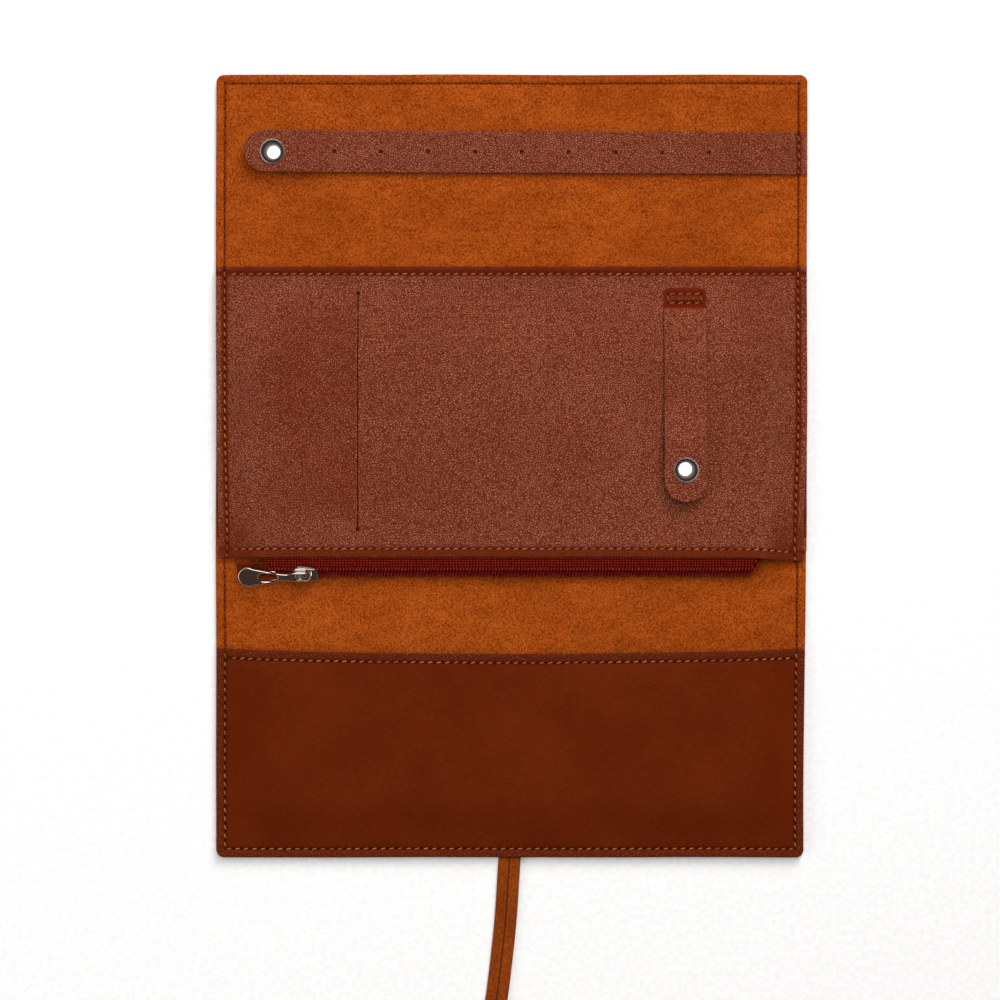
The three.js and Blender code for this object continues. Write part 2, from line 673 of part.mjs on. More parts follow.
function makeSlider(zip) {
  const plate = SLIDER_WIDTH / 2;
  const wedge = SLIDER_WEDGE / 2;
  const back = SLIDER_BACK_WIDTH / 2;
  const backTop = -TAPE_THICK - SLIDER_PLAY;
  const backUnder = backTop - SLIDER_BACK_PLATE;
  const rightHalf = [
    [back, backUnder],
    [back, backTop],
    [wedge, backTop],
    [wedge, PLATE_UNDER],
    [plate - SLIDER_LIP, PLATE_UNDER],
    [plate - SLIDER_LIP, SLIDER_LIP_CLEAR],
    [plate, SLIDER_LIP_CLEAR],
    [plate, PLATE_TOP],
  ];
  const leftHalf = rightHalf.map(([y, z]) => [-y, z]).reverse();
  const bar = alongX([...rightHalf, ...leftHalf], -SLIDER_LENGTH / 2, SLIDER_LENGTH / 2);
  const body = common(bar, prism(sliderOutline(), backUnder - 1, PLATE_TOP + 1));

  const reach = CROWN_LENGTH / 2;
  const inside = reach - CROWN_BAR;
  const sunk = PLATE_TOP - 0.1;
  const ceiling = PLATE_TOP + CROWN_OPENING;
  const arch = [
    [-reach, sunk],
    [-inside, sunk],
    [-inside, ceiling],
    [inside, ceiling],
    [inside, sunk],
    [reach, sunk],
    [reach, ceiling + 0.1],
    [inside, ceiling + CROWN_BAR],
    [-inside, ceiling + CROWN_BAR],
    [-reach, ceiling + 0.1],
  ];
  const crown = alongY(arch, -CROWN_WIDTH / 2, CROWN_WIDTH / 2);
  const slider = joined(body, crown).translate(SLIDER_X, -CHAIN_CENTRE, 0);
  part("zip_slider", slider, nickel, zip);
}

function makePull(zip) {
  const bar = PULL_THICK / 2;
  const shape = new THREE.Shape();
  const end = PULL_LENGTH - PULL_END_RADIUS;
  shape.moveTo(bar, -PULL_NECK_HALF);
  shape.lineTo(bar, PULL_NECK_HALF);
  shape.lineTo(-PULL_EYE_REACH - 1, PULL_NECK_HALF);
  shape.absarc(-end, 0, PULL_END_RADIUS, Math.PI / 2, 1.5 * Math.PI);
  shape.lineTo(-PULL_EYE_REACH - 1, -PULL_NECK_HALF);
  const eye = new THREE.Path();
  eye.moveTo(-bar, -PULL_EYE_HALF);
  eye.lineTo(-PULL_EYE_REACH, -PULL_EYE_HALF);
  eye.lineTo(-PULL_EYE_REACH, PULL_EYE_HALF);
  eye.lineTo(-bar, PULL_EYE_HALF);
  const slotHalf = PULL_SLOT_WIDTH / 2;
  const slotReach = PULL_SLOT_LENGTH / 2 - slotHalf;
  const slot = new THREE.Path();
  slot.absarc(-PULL_SLOT_CENTRE + slotReach, 0, slotHalf, -Math.PI / 2, Math.PI / 2);
  slot.absarc(-PULL_SLOT_CENTRE - slotReach, 0, slotHalf, Math.PI / 2, 1.5 * Math.PI);
  shape.holes.push(eye, slot);
  const plate = prism(shape, PULL_AXIS_HEIGHT - bar, PULL_AXIS_HEIGHT + bar);
  part("zip_pull", plate.translate(SLIDER_X, -CHAIN_CENTRE, 0), nickel, zip);
}

function makeZip(root) {
  makeTapes(root);
  const zip = new THREE.Group();
  zip.position.set(0, TAPE_BEND_Y, TAPE_BEND_Z);
  zip.rotation.x = ZIP_TILT;
  root.add(zip);
  makeChain(zip);
  makeSlider(zip);
  makePull(zip);
}

// ---------------------------------------------------------------- tie

// The tie lies on its flat from the hem, then is wound on its edge in a round coil.
function makeTie(root) {
  const z = TIE_THICK / 2;
  const path = new THREE.CatmullRomCurve3(TIE_LEAD.map(([x, y]) => new THREE.Vector3(x, y, z)));
  const a = TIE_THICK / 2;
  const b = TIE_WIDTH / 2;
  const bevel = 0.6;
  const section = outlineOf([
    [-a, -b + bevel],
    [-a + bevel, -b],
    [a - bevel, -b],
    [a, -b + bevel],
    [a, b - bevel],
    [a - bevel, b],
    [-a + bevel, b],
    [-a, b - bevel],
  ]);
  const steps = 10;
  const lead = new THREE.ExtrudeGeometry(section, { steps, extrudePath: path, bevelEnabled: false });
  const reach = TIE_COIL_OUTER + TOUCH_GAP;
  const room = drill(reach, TIE_COIL_X, TIE_COIL_Y, -1, TIE_COIL_HEIGHT, 48);
  part("tie_strap", cut(lead, [room]), tieSuede, root);

  const ring = [
    [TIE_COIL_INNER, 0],
    [TIE_COIL_OUTER, 0],
    [TIE_COIL_OUTER, TIE_COIL_HEIGHT],
    [TIE_COIL_INNER, TIE_COIL_HEIGHT],
    [TIE_COIL_INNER, 0],
  ];
  part("tie_coil", turned(ring, TIE_COIL_X, TIE_COIL_Y, 48), tieSuede, root);
}

// ---------------------------------------------------------------- the case

const jewelleryCase = new THREE.Group();
makeSkins(jewelleryCase);
makeLowerPocket(jewelleryCase);
makePouch(jewelleryCase);
makeZip(jewelleryCase);
makeEarringStrap(jewelleryCase);
makeKeeperStrap(jewelleryCase);
makeSnaps(jewelleryCase);
makeTie(jewelleryCase);

export default jewelleryCase;
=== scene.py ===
import json
import math
import random
from collections import namedtuple

import bmesh
import bpy
from mathutils import Matrix, Vector, noise


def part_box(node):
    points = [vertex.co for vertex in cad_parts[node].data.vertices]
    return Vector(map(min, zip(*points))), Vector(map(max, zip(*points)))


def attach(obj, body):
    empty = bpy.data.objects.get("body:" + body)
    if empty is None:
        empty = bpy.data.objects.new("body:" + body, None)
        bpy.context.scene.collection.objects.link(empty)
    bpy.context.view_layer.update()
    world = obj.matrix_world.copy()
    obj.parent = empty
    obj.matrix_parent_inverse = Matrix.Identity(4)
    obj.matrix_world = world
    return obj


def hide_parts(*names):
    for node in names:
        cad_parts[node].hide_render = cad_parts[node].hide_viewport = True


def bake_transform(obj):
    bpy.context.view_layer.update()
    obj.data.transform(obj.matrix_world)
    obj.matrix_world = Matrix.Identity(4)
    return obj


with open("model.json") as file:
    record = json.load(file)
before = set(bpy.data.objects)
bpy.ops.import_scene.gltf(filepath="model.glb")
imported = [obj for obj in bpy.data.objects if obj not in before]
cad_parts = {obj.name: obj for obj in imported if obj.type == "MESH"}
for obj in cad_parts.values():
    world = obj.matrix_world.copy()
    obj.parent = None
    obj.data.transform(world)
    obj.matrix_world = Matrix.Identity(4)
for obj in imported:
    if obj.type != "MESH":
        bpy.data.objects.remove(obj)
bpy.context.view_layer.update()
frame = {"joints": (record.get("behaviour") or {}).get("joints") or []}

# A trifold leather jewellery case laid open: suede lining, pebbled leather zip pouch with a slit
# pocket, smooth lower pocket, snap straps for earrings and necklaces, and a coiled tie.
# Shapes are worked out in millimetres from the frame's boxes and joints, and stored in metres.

random.seed(7)

MM = 0.001

# ---- places taken from the frame


def span(node):
    low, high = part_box(node)
    return Vector(low) / MM, Vector(high) / MM


def joint(name):
    return next(j for j in frame["joints"] if j["name"] == name)


def pivot(name):
    return Vector(joint(name)["pos_m"]) / MM


HALF_W = span("shell_middle")[1].x
HALF_L = span("shell_upper")[1].y
SHELL_TOP = span("shell_middle")[1].z
LINING_UNDER, LINING_TOP = (corner.z for corner in span("lining_middle"))
UPPER_INNER = pivot("upper_fold_inner").y
UPPER_OUTER = pivot("upper_fold_outer").y
LOWER_INNER = pivot("lower_fold_inner").y
LOWER_OUTER = pivot("lower_fold_outer").y
UPPER_SPINE = (UPPER_INNER + UPPER_OUTER) / 2
LOWER_SPINE = (LOWER_INNER + LOWER_OUTER) / 2
MIDDLE = (UPPER_INNER + LOWER_INNER) / 2

# ---- soft dimensions, millimetres

PANEL = 1.2  # leather of the pouch front and the lower pocket
SIDE_SET_BACK = 0.25  # of those panels' side edges from the case's
CLEAR = 0.02  # gap between layers that lie on each other
CUT_HIGH = 20  # the pouch front's cutters reach from the floor to above it
CORNER = 3.0
SEAM_INSET = 3.4  # seam from the case's edge
SEAM_GROOVE = 0.42
EDGE_STEPS = (0.06, 0.18, 0.36, 0.6)
EDGE_RADIUS = 0.6
SEAM_STEPS = (1.4, 2.2, 2.7, 3.1, 3.4, 3.7, 4.1, 4.6, 5.4)  # from an edge, to shape the seam's groove

WANDER_FROM = 20  # the case's edges stray from this far in

SHARP_ANGLE = 38  # degrees between faces, from where an edge is drawn sharp
FINE_ANGLE = 60  # the same, on threads and coil turns

STITCH_PITCH = 3.3
STITCH_LENGTH = 2.0
STITCH_RADIUS = 0.27
STITCH_SLANT = (9, 20)  # degrees from the seam's line, from least to most

# ---- mesh helpers


def smooth(t):
    t = min(1.0, max(0.0, t))
    return t * t * (3 - 2 * t)


def wave(x, y, size, seed=0.0):
    """Smooth random height from -1 to 1, with features of about `size` millimetres."""
    return noise.noise(Vector((x / size, y / size, seed)))


def stations(low, high, step, marks=()):
    """Values from low to high that pass every mark and are never more than step apart."""
    stops = sorted({low, high, *(m for m in marks if low < m < high)})
    values = [stops[0]]
    for a, b in zip(stops, stops[1:]):
        count = max(1, math.ceil((b - a) / step - 1e-6))
        values += [a + (b - a) * i / count for i in range(1, count + 1)]
    return values


def around(centre, *offsets):
    return [centre + s * o for o in offsets for s in (-1, 1)] + [centre]


def inset_marks(half):
    """Where the rim and the seam's groove are shaped at both ends of -half to half."""
    return [s * (half - e) for e in (*EDGE_STEPS, *SEAM_STEPS) for s in (-1, 1)]


def circle(count):
    """Angles of evenly spaced points."""
    return [2 * math.pi * k / count for k in range(count)]


def signed_power(value, power):
    return math.copysign(abs(value) ** power, value)


def tube_faces(rings):
    """Faces between rings of point numbers, and one over each end."""
    faces = []
    for one, two in zip(rings, rings[1:]):
        for k in range(len(one)):
            after = (k + 1) % len(one)
            faces.append((one[k], one[after], two[after], two[k]))
    return [*faces, tuple(rings[0]), tuple(rings[-1])]


def finish_mesh(obj, angle=SHARP_ANGLE):
    mesh = bmesh.new()
    mesh.from_mesh(obj.data)
    bmesh.ops.remove_doubles(mesh, verts=mesh.verts, dist=2e-6)
    bmesh.ops.dissolve_degenerate(mesh, edges=mesh.edges, dist=1e-6)
    bmesh.ops.recalc_face_normals(mesh, faces=mesh.faces)
    mesh.to_mesh(obj.data)
    mesh.free()
    obj.data.shade_smooth()
    obj.data.set_sharp_from_angle(angle=math.radians(angle))
    return obj


def mesh_object(name, verts, faces, *materials, angle=SHARP_ANGLE, pressed=None):
    """A mesh from points in millimetres."""
    data = bpy.data.meshes.new(name)
    data.from_pydata([Vector(v) * MM for v in verts], [], faces)
    if pressed:
        data.attributes.new("press", "FLOAT", "POINT").data.foreach_set("value", pressed)
    for item in materials:
        data.materials.append(item)
    obj = bpy.data.objects.new(name, data)
    bpy.context.scene.collection.objects.link(obj)
    return finish_mesh(obj, angle)


def slab(name, xs, ys, top, bottom, material, place=None, press=None):
    """A closed sheet over the grid xs by ys, from bottom(x, y) to top(x, y).
    press(x, y), from 0 to 1, is how hard the leather is pressed there, which its material shows darker;
    on the pouch front it also holds painted shade."""
    cols, rows = len(xs), len(ys)
    count = cols * rows
    verts = []
    for surface in (top, bottom):
        for y in ys:
            for x in xs:
                px, py = place(x, y) if place else (x, y)
                verts.append((px, py, surface(x, y)))
    faces = []
    for j in range(rows - 1):
        for i in range(cols - 1):
            a = j * cols + i
            b = a + cols
            faces.append((a, a + 1, b + 1, b))
            faces.append((count + a, count + b, count + b + 1, count + a + 1))
    rim = list(range(cols))
    rim += [j * cols + cols - 1 for j in range(1, rows)]
    rim += [(rows - 1) * cols + i for i in range(cols - 2, -1, -1)]
    rim += [j * cols for j in range(rows - 2, 0, -1)]
    for a, b in zip(rim, rim[1:] + rim[:1]):
        faces.append((a, count + a, count + b, b))
    pressed = [press(x, y) for y in ys for x in xs] * 2 if press else None
    return mesh_object(name, verts, faces, material, pressed=pressed)


def rim_share(distance, radius=EDGE_RADIUS):
    """Share of the half thickness that a rounded edge has at a distance from its border."""
    if distance >= radius:
        return 1.0
    return math.sqrt(max(0.0, 1 - (1 - distance / radius) ** 2))


def round_corner(x, y, x_end, y_end, radius):
    """Moves a point near the square corner (x_end, y_end) onto a corner of that radius."""
    sx, sy = math.copysign(1, x_end), math.copysign(1, y_end)
    u = 1 - abs(x_end - x) / radius
    v = 1 - abs(y_end - y) / radius
    if u <= 0 or v <= 0 or (x_end - x) * sx < -1e-6 or (y_end - y) * sy < -1e-6:
        return x, y
    u, v = u * math.sqrt(1 - v * v / 2), v * math.sqrt(1 - u * u / 2)
    return x_end - sx * radius * (1 - u), y_end - sy * radius * (1 - v)


def groove(distance, centre, depth=SEAM_GROOVE, width=0.85):
    return depth * math.exp(-(((distance - centre) / width) ** 2))


def press_line(distance, centre, reach=1.5):
    """Pressing beside a seam, from 1 on its line to 0 at `reach` from it."""
    return 1 - smooth(abs(distance - centre) / reach)


def turned(name, profile, centre, material, segments):
    """A solid of revolution about Z from (radius, height) points that start and end on the axis."""
    verts, faces, rings = [], [], []
    for radius, height in profile:
        if radius < 1e-6:
            rings.append([len(verts)])
            verts.append(Vector((0, 0, height)))
            continue
        rings.append(list(range(len(verts), len(verts) + segments)))
        verts += [Vector((radius * math.cos(a), radius * math.sin(a), height)) for a in circle(segments)]
    for low, high in zip(rings, rings[1:]):
        for k in range(segments):
            a, b = low[k % len(low)], low[(k + 1) % len(low)]
            c, d = high[(k + 1) % len(high)], high[k % len(high)]
            if len(low) == 1:
                faces.append([a, c, d])
            else:
                faces.append([a, b, c, d] if len(high) > 1 else [a, b, c])
    return mesh_object(name, [centre + v for v in verts], faces, material)


def apply_modifiers(obj, angle=SHARP_ANGLE):
    bpy.context.view_layer.update()
    evaluated = obj.evaluated_get(bpy.context.evaluated_depsgraph_get())
    changed = bpy.data.meshes.new_from_object(evaluated)
    old = obj.data
    materials = list(old.materials)
    obj.modifiers.clear()
    obj.data = changed
    changed.materials.clear()
    for item in materials:
        changed.materials.append(item)
    bpy.data.meshes.remove(old)
    return finish_mesh(obj, angle) if angle else obj


def carve(obj, *cutters):
    """Cuts solids away from a piece and removes them."""
    for cutter in cutters:
        modifier = obj.modifiers.new("cut", "BOOLEAN")
        modifier.operation = "DIFFERENCE"
        modifier.solver = "EXACT"
        modifier.object = cutter
    apply_modifiers(obj)
    for cutter in cutters:
        bpy.data.objects.remove(cutter)
    return obj


def weigh_normals(obj):
    """Shades flat faces flat right up to their rounded edges."""
    modifier = obj.modifiers.new("weighted", "WEIGHTED_NORMAL")
    modifier.keep_sharp = False
    modifier.weight = 100
    return apply_modifiers(obj, None)


def soften(obj, width):
    """Rounds a piece's sharp edges."""
    modifier = obj.modifiers.new("soften", "BEVEL")
    modifier.width = width * MM
    modifier.segments = 3
    modifier.limit_method = "ANGLE"
    modifier.angle_limit = math.radians(35)
    modifier.use_clamp_overlap = True
    return weigh_normals(obj)


def loft(name, sections, material, pressed=None):
    """A solid through closed sections of equally many points, capped at both ends."""
    count = len(sections[0])
    verts = [point for section in sections for point in section]
    rings = [range(i * count, (i + 1) * count) for i in range(len(sections))]
    return mesh_object(name, verts, tube_faces(rings), material, pressed=pressed)


def box_cutter(x, y, low, high):
    """A box from (x[0], y[0], low) to (x[1], y[1], high)."""
    ring = [(x[0], y[0]), (x[1], y[0]), (x[1], y[1]), (x[0], y[1])]
    return loft("cutter", [[(a, b, z) for a, b in ring] for z in (low, high)], None)


def round_cutter(radius, x, y, low, high):
    profile = [(0, low), (radius, low), (radius, high), (0, high)]
    return turned("cutter", profile, Vector((x, y, 0)), None, 20)


def fit(piece, body, slot, *nodes):
    """Puts a piece on its body and hides the CAD nodes that it stands for. Its slot argument is not
    used.
    """
    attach(piece, body)
    if nodes:
        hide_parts(*nodes)


# ---- materials


class Shader:
    """A material whose nodes are added one by one and read object coordinates, in millimetres."""

    def __init__(self, name, color, roughness, metallic=0.0):
        self.material = bpy.data.materials.new(name)
        self.material.use_nodes = True
        self.material.diffuse_color = (*color, 1)
        self.nodes = self.material.node_tree.nodes
        self.links = self.material.node_tree.links
        self.surface = self.nodes["Principled BSDF"]
        self.surface.inputs["Base Color"].default_value = (*color, 1)
        self.surface.inputs["Roughness"].default_value = roughness
        self.surface.inputs["Metallic"].default_value = metallic
        metres = self.add("TexCoord").outputs["Object"]
        self.where = self.add("Mapping", Scale=(1 / MM, 1 / MM, 1 / MM), Vector=metres).outputs["Vector"]

    def put(self, socket, value):
        if hasattr(value, "is_output"):
            self.links.new(value, socket)
        else:
            socket.default_value = value

    def add(self, kind, **inputs):
        """A new node. Its inputs are given by name, with _ for a space."""
        node = self.nodes.new("ShaderNode" + kind)
        for key, value in inputs.items():
            self.put(node.inputs[key.replace("_", " ")], value)
        return node

    def noise(self, size, detail=3.0, roughness=0.55, stretch=(1, 1, 1)):
        scale = [1 / (size * s) for s in stretch]
        stretched = self.add("Mapping", Scale=scale, Vector=self.where).outputs["Vector"]
        node = self.add("TexNoise", Detail=detail, Roughness=roughness, Scale=1.0, Vector=stretched)
        return node.outputs["Fac"]

    def rubbed(self):
        """1 along convex edges, in broken patches, where handling wears the surface."""
        edge = self.ramp(self.add("NewGeometry").outputs["Pointiness"], 0.51, 0.57)
        return self.times(edge, self.ramp(self.noise(5, 3), 0.35, 0.62))

    def cells(self, size, feature, warp):
        """Cells of about `size` millimetres, whose borders a noise shakes by up to `warp`."""
        shake = self.add("TexNoise", Scale=1.2 / size, Vector=self.where)
        shaken = self.add("VectorMath")
        shaken.operation = "MULTIPLY_ADD"
        for index, value in enumerate((shake.outputs["Color"], (warp, warp, warp), self.where)):
            self.put(shaken.inputs[index], value)
        node = self.add("TexVoronoi", Scale=1 / size, Vector=shaken.outputs["Vector"])
        node.feature = feature
        return node.outputs["Distance"]

    def pressed(self):
        """The mesh's press attribute: 1 where leather is pressed flat, below 0 on a rough margin. On the
        pouch front and along the tie's seam it also holds painted shade.
        """
        node = self.add("Attribute")
        node.attribute_name = "press"
        return node.outputs["Fac"]

    def ramp(self, value, low, high, out_low=0.0, out_high=1.0):
        spans = {"From_Min": low, "From_Max": high, "To_Min": out_low, "To_Max": out_high}
        node = self.add("MapRange", Value=value, **spans)
        node.interpolation_type = "SMOOTHSTEP"
        return node.outputs["Result"]

    def math(self, operation, a, b):
        node = self.add("Math")
        node.operation = operation
        self.put(node.inputs[0], a)
        self.put(node.inputs[1], b)
        return node.outputs[0]

    def times(self, a, b):
        return self.math("MULTIPLY", a, b)

    def plus(self, a, b):
        return self.math("ADD", a, b)

    def mix(self, share, a, b):
        node = self.add("Mix", Factor=share)
        node.data_type = "RGBA"
        for index, value in ((6, a), (7, b)):
            self.put(node.inputs[index], value if hasattr(value, "is_output") else (*value, 1))
        return node.outputs[2]

    def bump(self, height, distance, strength=1.0, under=None):
        """Raises the surface by `distance` millimetres where height is 1."""
        node = self.add("Bump", Distance=distance * MM, Strength=strength, Height=height)
        if under:
            self.put(node.inputs["Normal"], under)
        return node.outputs["Normal"]

    def use(self, color=None, roughness=None, normal=None, **numbers):
        for key, value in (("Base Color", color), ("Roughness", roughness), ("Normal", normal)):
            if value is not None:
                self.put(self.surface.inputs[key], value)
        for key, value in numbers.items():
            self.surface.inputs[key.replace("_", " ")].default_value = value
        return self.material


def pebbled(name, crease_shade, top, sunk):
    """Leather with a pebble grain: round-topped pebbles that catch the light, parted by creases. The
    tops take the lighter top colour as a painted highlight, which is also the colour of rubbed edges,
    and the creases take the darker crease colour as painted shade.
    Where it is pressed, the grain is flattened and darker; on the pouch front that pressing also holds
    painted shade at its lower corners, beside the slit and along its sides."""
    pebble_size = 0.86
    relief = 0.26
    shine = 0.36
    s = Shader(name, top, shine)
    press = s.ramp(s.pressed(), 0.0, 1.0)
    flat = s.math("SUBTRACT", 1.0, s.times(press, 0.85))
    edge = s.cells(pebble_size, "DISTANCE_TO_EDGE", 0.4)
    pebble = s.math("POWER", s.ramp(edge, 0.0, 0.42), 0.6)
    uneven = s.ramp(s.noise(1.3, 2), 0.3, 0.7)
    mound = s.plus(s.times(pebble, 0.9), s.times(uneven, 0.1))
    height = s.times(mound, flat)
    patch = s.ramp(s.noise(34, 3), 0.32, 0.68, 0.8, 1.1)
    # painted highlight and shade: share of the lighter top colour, high on pebble tops and low in the
    # creases
    worn = s.times(s.ramp(height, 0.1, 0.85), patch)
    color = s.mix(worn, crease_shade, top)
    color = s.mix(s.ramp(s.noise(16, 4), 0.3, 0.7, 0.0, 0.18), color, [c * 0.8 for c in crease_shade])
    color = s.mix(press, color, sunk)
    color = s.mix(s.times(s.rubbed(), 0.45), color, top)
    rough = s.ramp(height, 0.1, 1.0, shine + 0.25, shine)
    normal = s.bump(s.noise(26, 2), 0.9, 0.6)
    normal = s.bump(height, relief, 1.0, normal)
    return s.use(color, rough, normal, Specular_IOR_Level=0.14, Specular_Tint=(1.0, 0.7, 0.55, 1.0))


def smooth_leather(name, low, high, margin_low, margin_high):
    """Smooth aniline leather: fine pores, faint wrinkles and soft mottling. Its rough margin,
    outside the seams, keeps a pebble grain."""
    shine = 0.55
    s = Shader(name, high, shine)
    press = s.pressed()
    sunk = s.ramp(press, 0.0, 1.0)
    margin = s.ramp(press, 0.0, -0.8)
    cloud = s.ramp(s.noise(30, 4), 0.3, 0.7, 0.2, 0.8)
    fleck = s.ramp(s.noise(0.8, 3), 0.35, 0.65, -0.25, 0.25)
    tone = s.mix(s.plus(cloud, fleck), low, high)
    pores = s.ramp(s.cells(0.5, "F1", 0.2), 0.0, 0.5)
    tone = s.mix(s.ramp(pores, 0.0, 0.6), [c * 0.72 for c in low], tone)
    grain = s.ramp(s.cells(1.0, "DISTANCE_TO_EDGE", 0.4), 0.0, 0.34)
    color = s.mix(margin, tone, s.mix(grain, margin_low, margin_high))
    color = s.mix(s.times(sunk, 0.85), color, [c * 0.4 for c in low])
    color = s.mix(s.times(s.rubbed(), 0.45), color, margin_high)
    normal = s.bump(pores, 0.05)
    normal = s.bump(s.noise(2.6, 5, 0.6, (1, 0.55, 1)), 0.10, 1.0, normal)
    normal = s.bump(s.times(grain, margin), 0.22, 1.0, normal)
    rough = s.ramp(s.noise(5, 3), 0.3, 0.7, shine - 0.05, shine + 0.08)
    return s.use(color, rough, normal, Specular_IOR_Level=0.07, Specular_Tint=(1.0, 0.55, 0.35, 1.0))


def suede(name, low, high, nap=(1.6, 0.8, 1)):
    """Napped leather: short fibres brushed into lighter and darker patches, with a sheen."""
    s = Shader(name, high, 0.93)
    brushed = s.noise(4.5, 4, 0.65, nap)
    cloud = s.noise(26, 3, 0.5, (1.8, 1, 1))
    fibre = s.noise(0.6, 3, 0.85, (1, 1.2, 1))
    blend = s.plus(s.times(brushed, 0.18), s.times(fibre, 0.82))
    tone = s.mix(s.ramp(blend, 0.33, 0.67), low, high)
    color = s.mix(s.ramp(cloud, 0.35, 0.65, 0.0, 0.22), tone, [c * 0.9 for c in low])
    # darker where pressed; along the tie's seam the press attribute holds painted shade
    color = s.mix(s.ramp(s.pressed(), 0.0, 1.0, 0.0, 0.7), color, [c * 0.5 for c in low])
    normal = s.bump(fibre, 0.10)
    normal = s.bump(brushed, 0.16, 0.8, normal)
    sheen = {"Sheen_Weight": 0.2, "Sheen_Roughness": 0.45, "Sheen_Tint": (1.0, 0.5, 0.22, 1.0)}
    return s.use(color, None, normal, Specular_IOR_Level=0.04, **sheen)


def thread(name, low, high):
    s = Shader(name, high, 0.55)
    ply = s.noise(0.28, 2, 0.6, (0.6, 1.8, 1))
    worn = s.noise(9, 2)
    tone = s.plus(s.times(ply, 0.6), s.times(worn, 0.4))
    color = s.mix(s.ramp(tone, 0.35, 0.65), low, high)
    return s.use(color, None, s.bump(ply, 0.08), Specular_IOR_Level=0.12)


def woven(name, low, high):
    """Zip tape: rows of small knobs where its warp and weft cross."""
    s = Shader(name, high, 0.85)
    threads = []
    for direction, period in (("X", 1.15), ("Y", 0.95)):
        node = s.add("TexWave", Scale=math.pi / 10 / period, Vector=s.where)
        node.bands_direction = direction
        threads.append(node.outputs["Fac"])
    rib = s.times(threads[0], threads[1])
    worn = s.plus(rib, s.ramp(s.noise(0.9, 2), 0.3, 0.7, -0.2, 0.2))
    color = s.mix(s.ramp(worn, 0.0, 0.8), low, high)
    return s.use(color, None, s.bump(rib, 0.12), Specular_IOR_Level=0.03)


def nylon(name, low, high):
    s = Shader(name, high, 0.3)
    color = s.mix(s.ramp(s.noise(1.1, 2), 0.3, 0.7), low, high)
    return s.use(color, s.ramp(s.noise(0.6, 2), 0.3, 0.7, 0.24, 0.42), None, Coat_Weight=0.25)


def plated(name, color, shine):
    """Polished nickel plate with hairline rubbing."""
    s = Shader(name, color, shine, 1.0)
    hairline = s.noise(0.5, 3, 0.6, (9, 0.5, 1))
    rough = s.ramp(hairline, 0.3, 0.75, shine, shine + 0.08)
    rough = s.plus(rough, s.times(s.rubbed(), 0.12))
    return s.use(None, rough, s.bump(s.noise(3.0, 2), 0.008))


def plain(name, color, roughness):
    s = Shader(name, color, roughness)
    tone = s.mix(s.ramp(s.noise(2, 2), 0.3, 0.7), [c * 0.94 for c in color], color)
    return s.use(tone, None, None, Specular_IOR_Level=0.1)


GAIN = 0.8  # the studio light makes a surface this much brighter than its own colour


def albedo(red, green, blue):
    """Linear surface colour that shows as this display colour under the studio light."""
    linear = []
    for value in (red, green, blue):
        v = value / 255
        linear.append(GAIN * (v / 12.92 if v <= 0.04045 else ((v + 0.055) / 1.055) ** 2.4))
    return linear


SUEDE = suede("suede_lining", albedo(108, 32, 0), albedo(201, 98, 31))
# pebbled colours: creases darkened as painted shade, tops lightened as a painted highlight (also used
# for rubbed edges), and pressed leather
PEBBLED = pebbled("pebbled_leather", albedo(104, 37, 14), albedo(172, 100, 75), albedo(98, 27, 2))
POCKET = smooth_leather(
    "pocket_leather", albedo(92, 29, 4), albedo(106, 37, 9), albedo(92, 31, 9), albedo(120, 54, 31)
)
TIE = suede("tie_suede", albedo(104, 38, 4), albedo(166, 79, 26), (0.8, 2.4, 1))
THREAD = thread("thread", albedo(112, 56, 26), albedo(192, 126, 82))
LINING_THREAD = thread("lining_thread", albedo(84, 26, 3), albedo(140, 62, 22))
# dark lenses in the needle holes: painted shade
HOLE_SHADE = plain("painted_hole_shade", albedo(48, 8, 2), 0.95)
TAPE = woven("zip_tape", albedo(88, 10, 4), albedo(164, 50, 32))
NYLON = nylon("zip_coil", albedo(92, 8, 5), albedo(146, 36, 22))
NICKEL = plated("nickel", (0.8, 0.745, 0.69), 0.07)

# ---- camera, light and floor


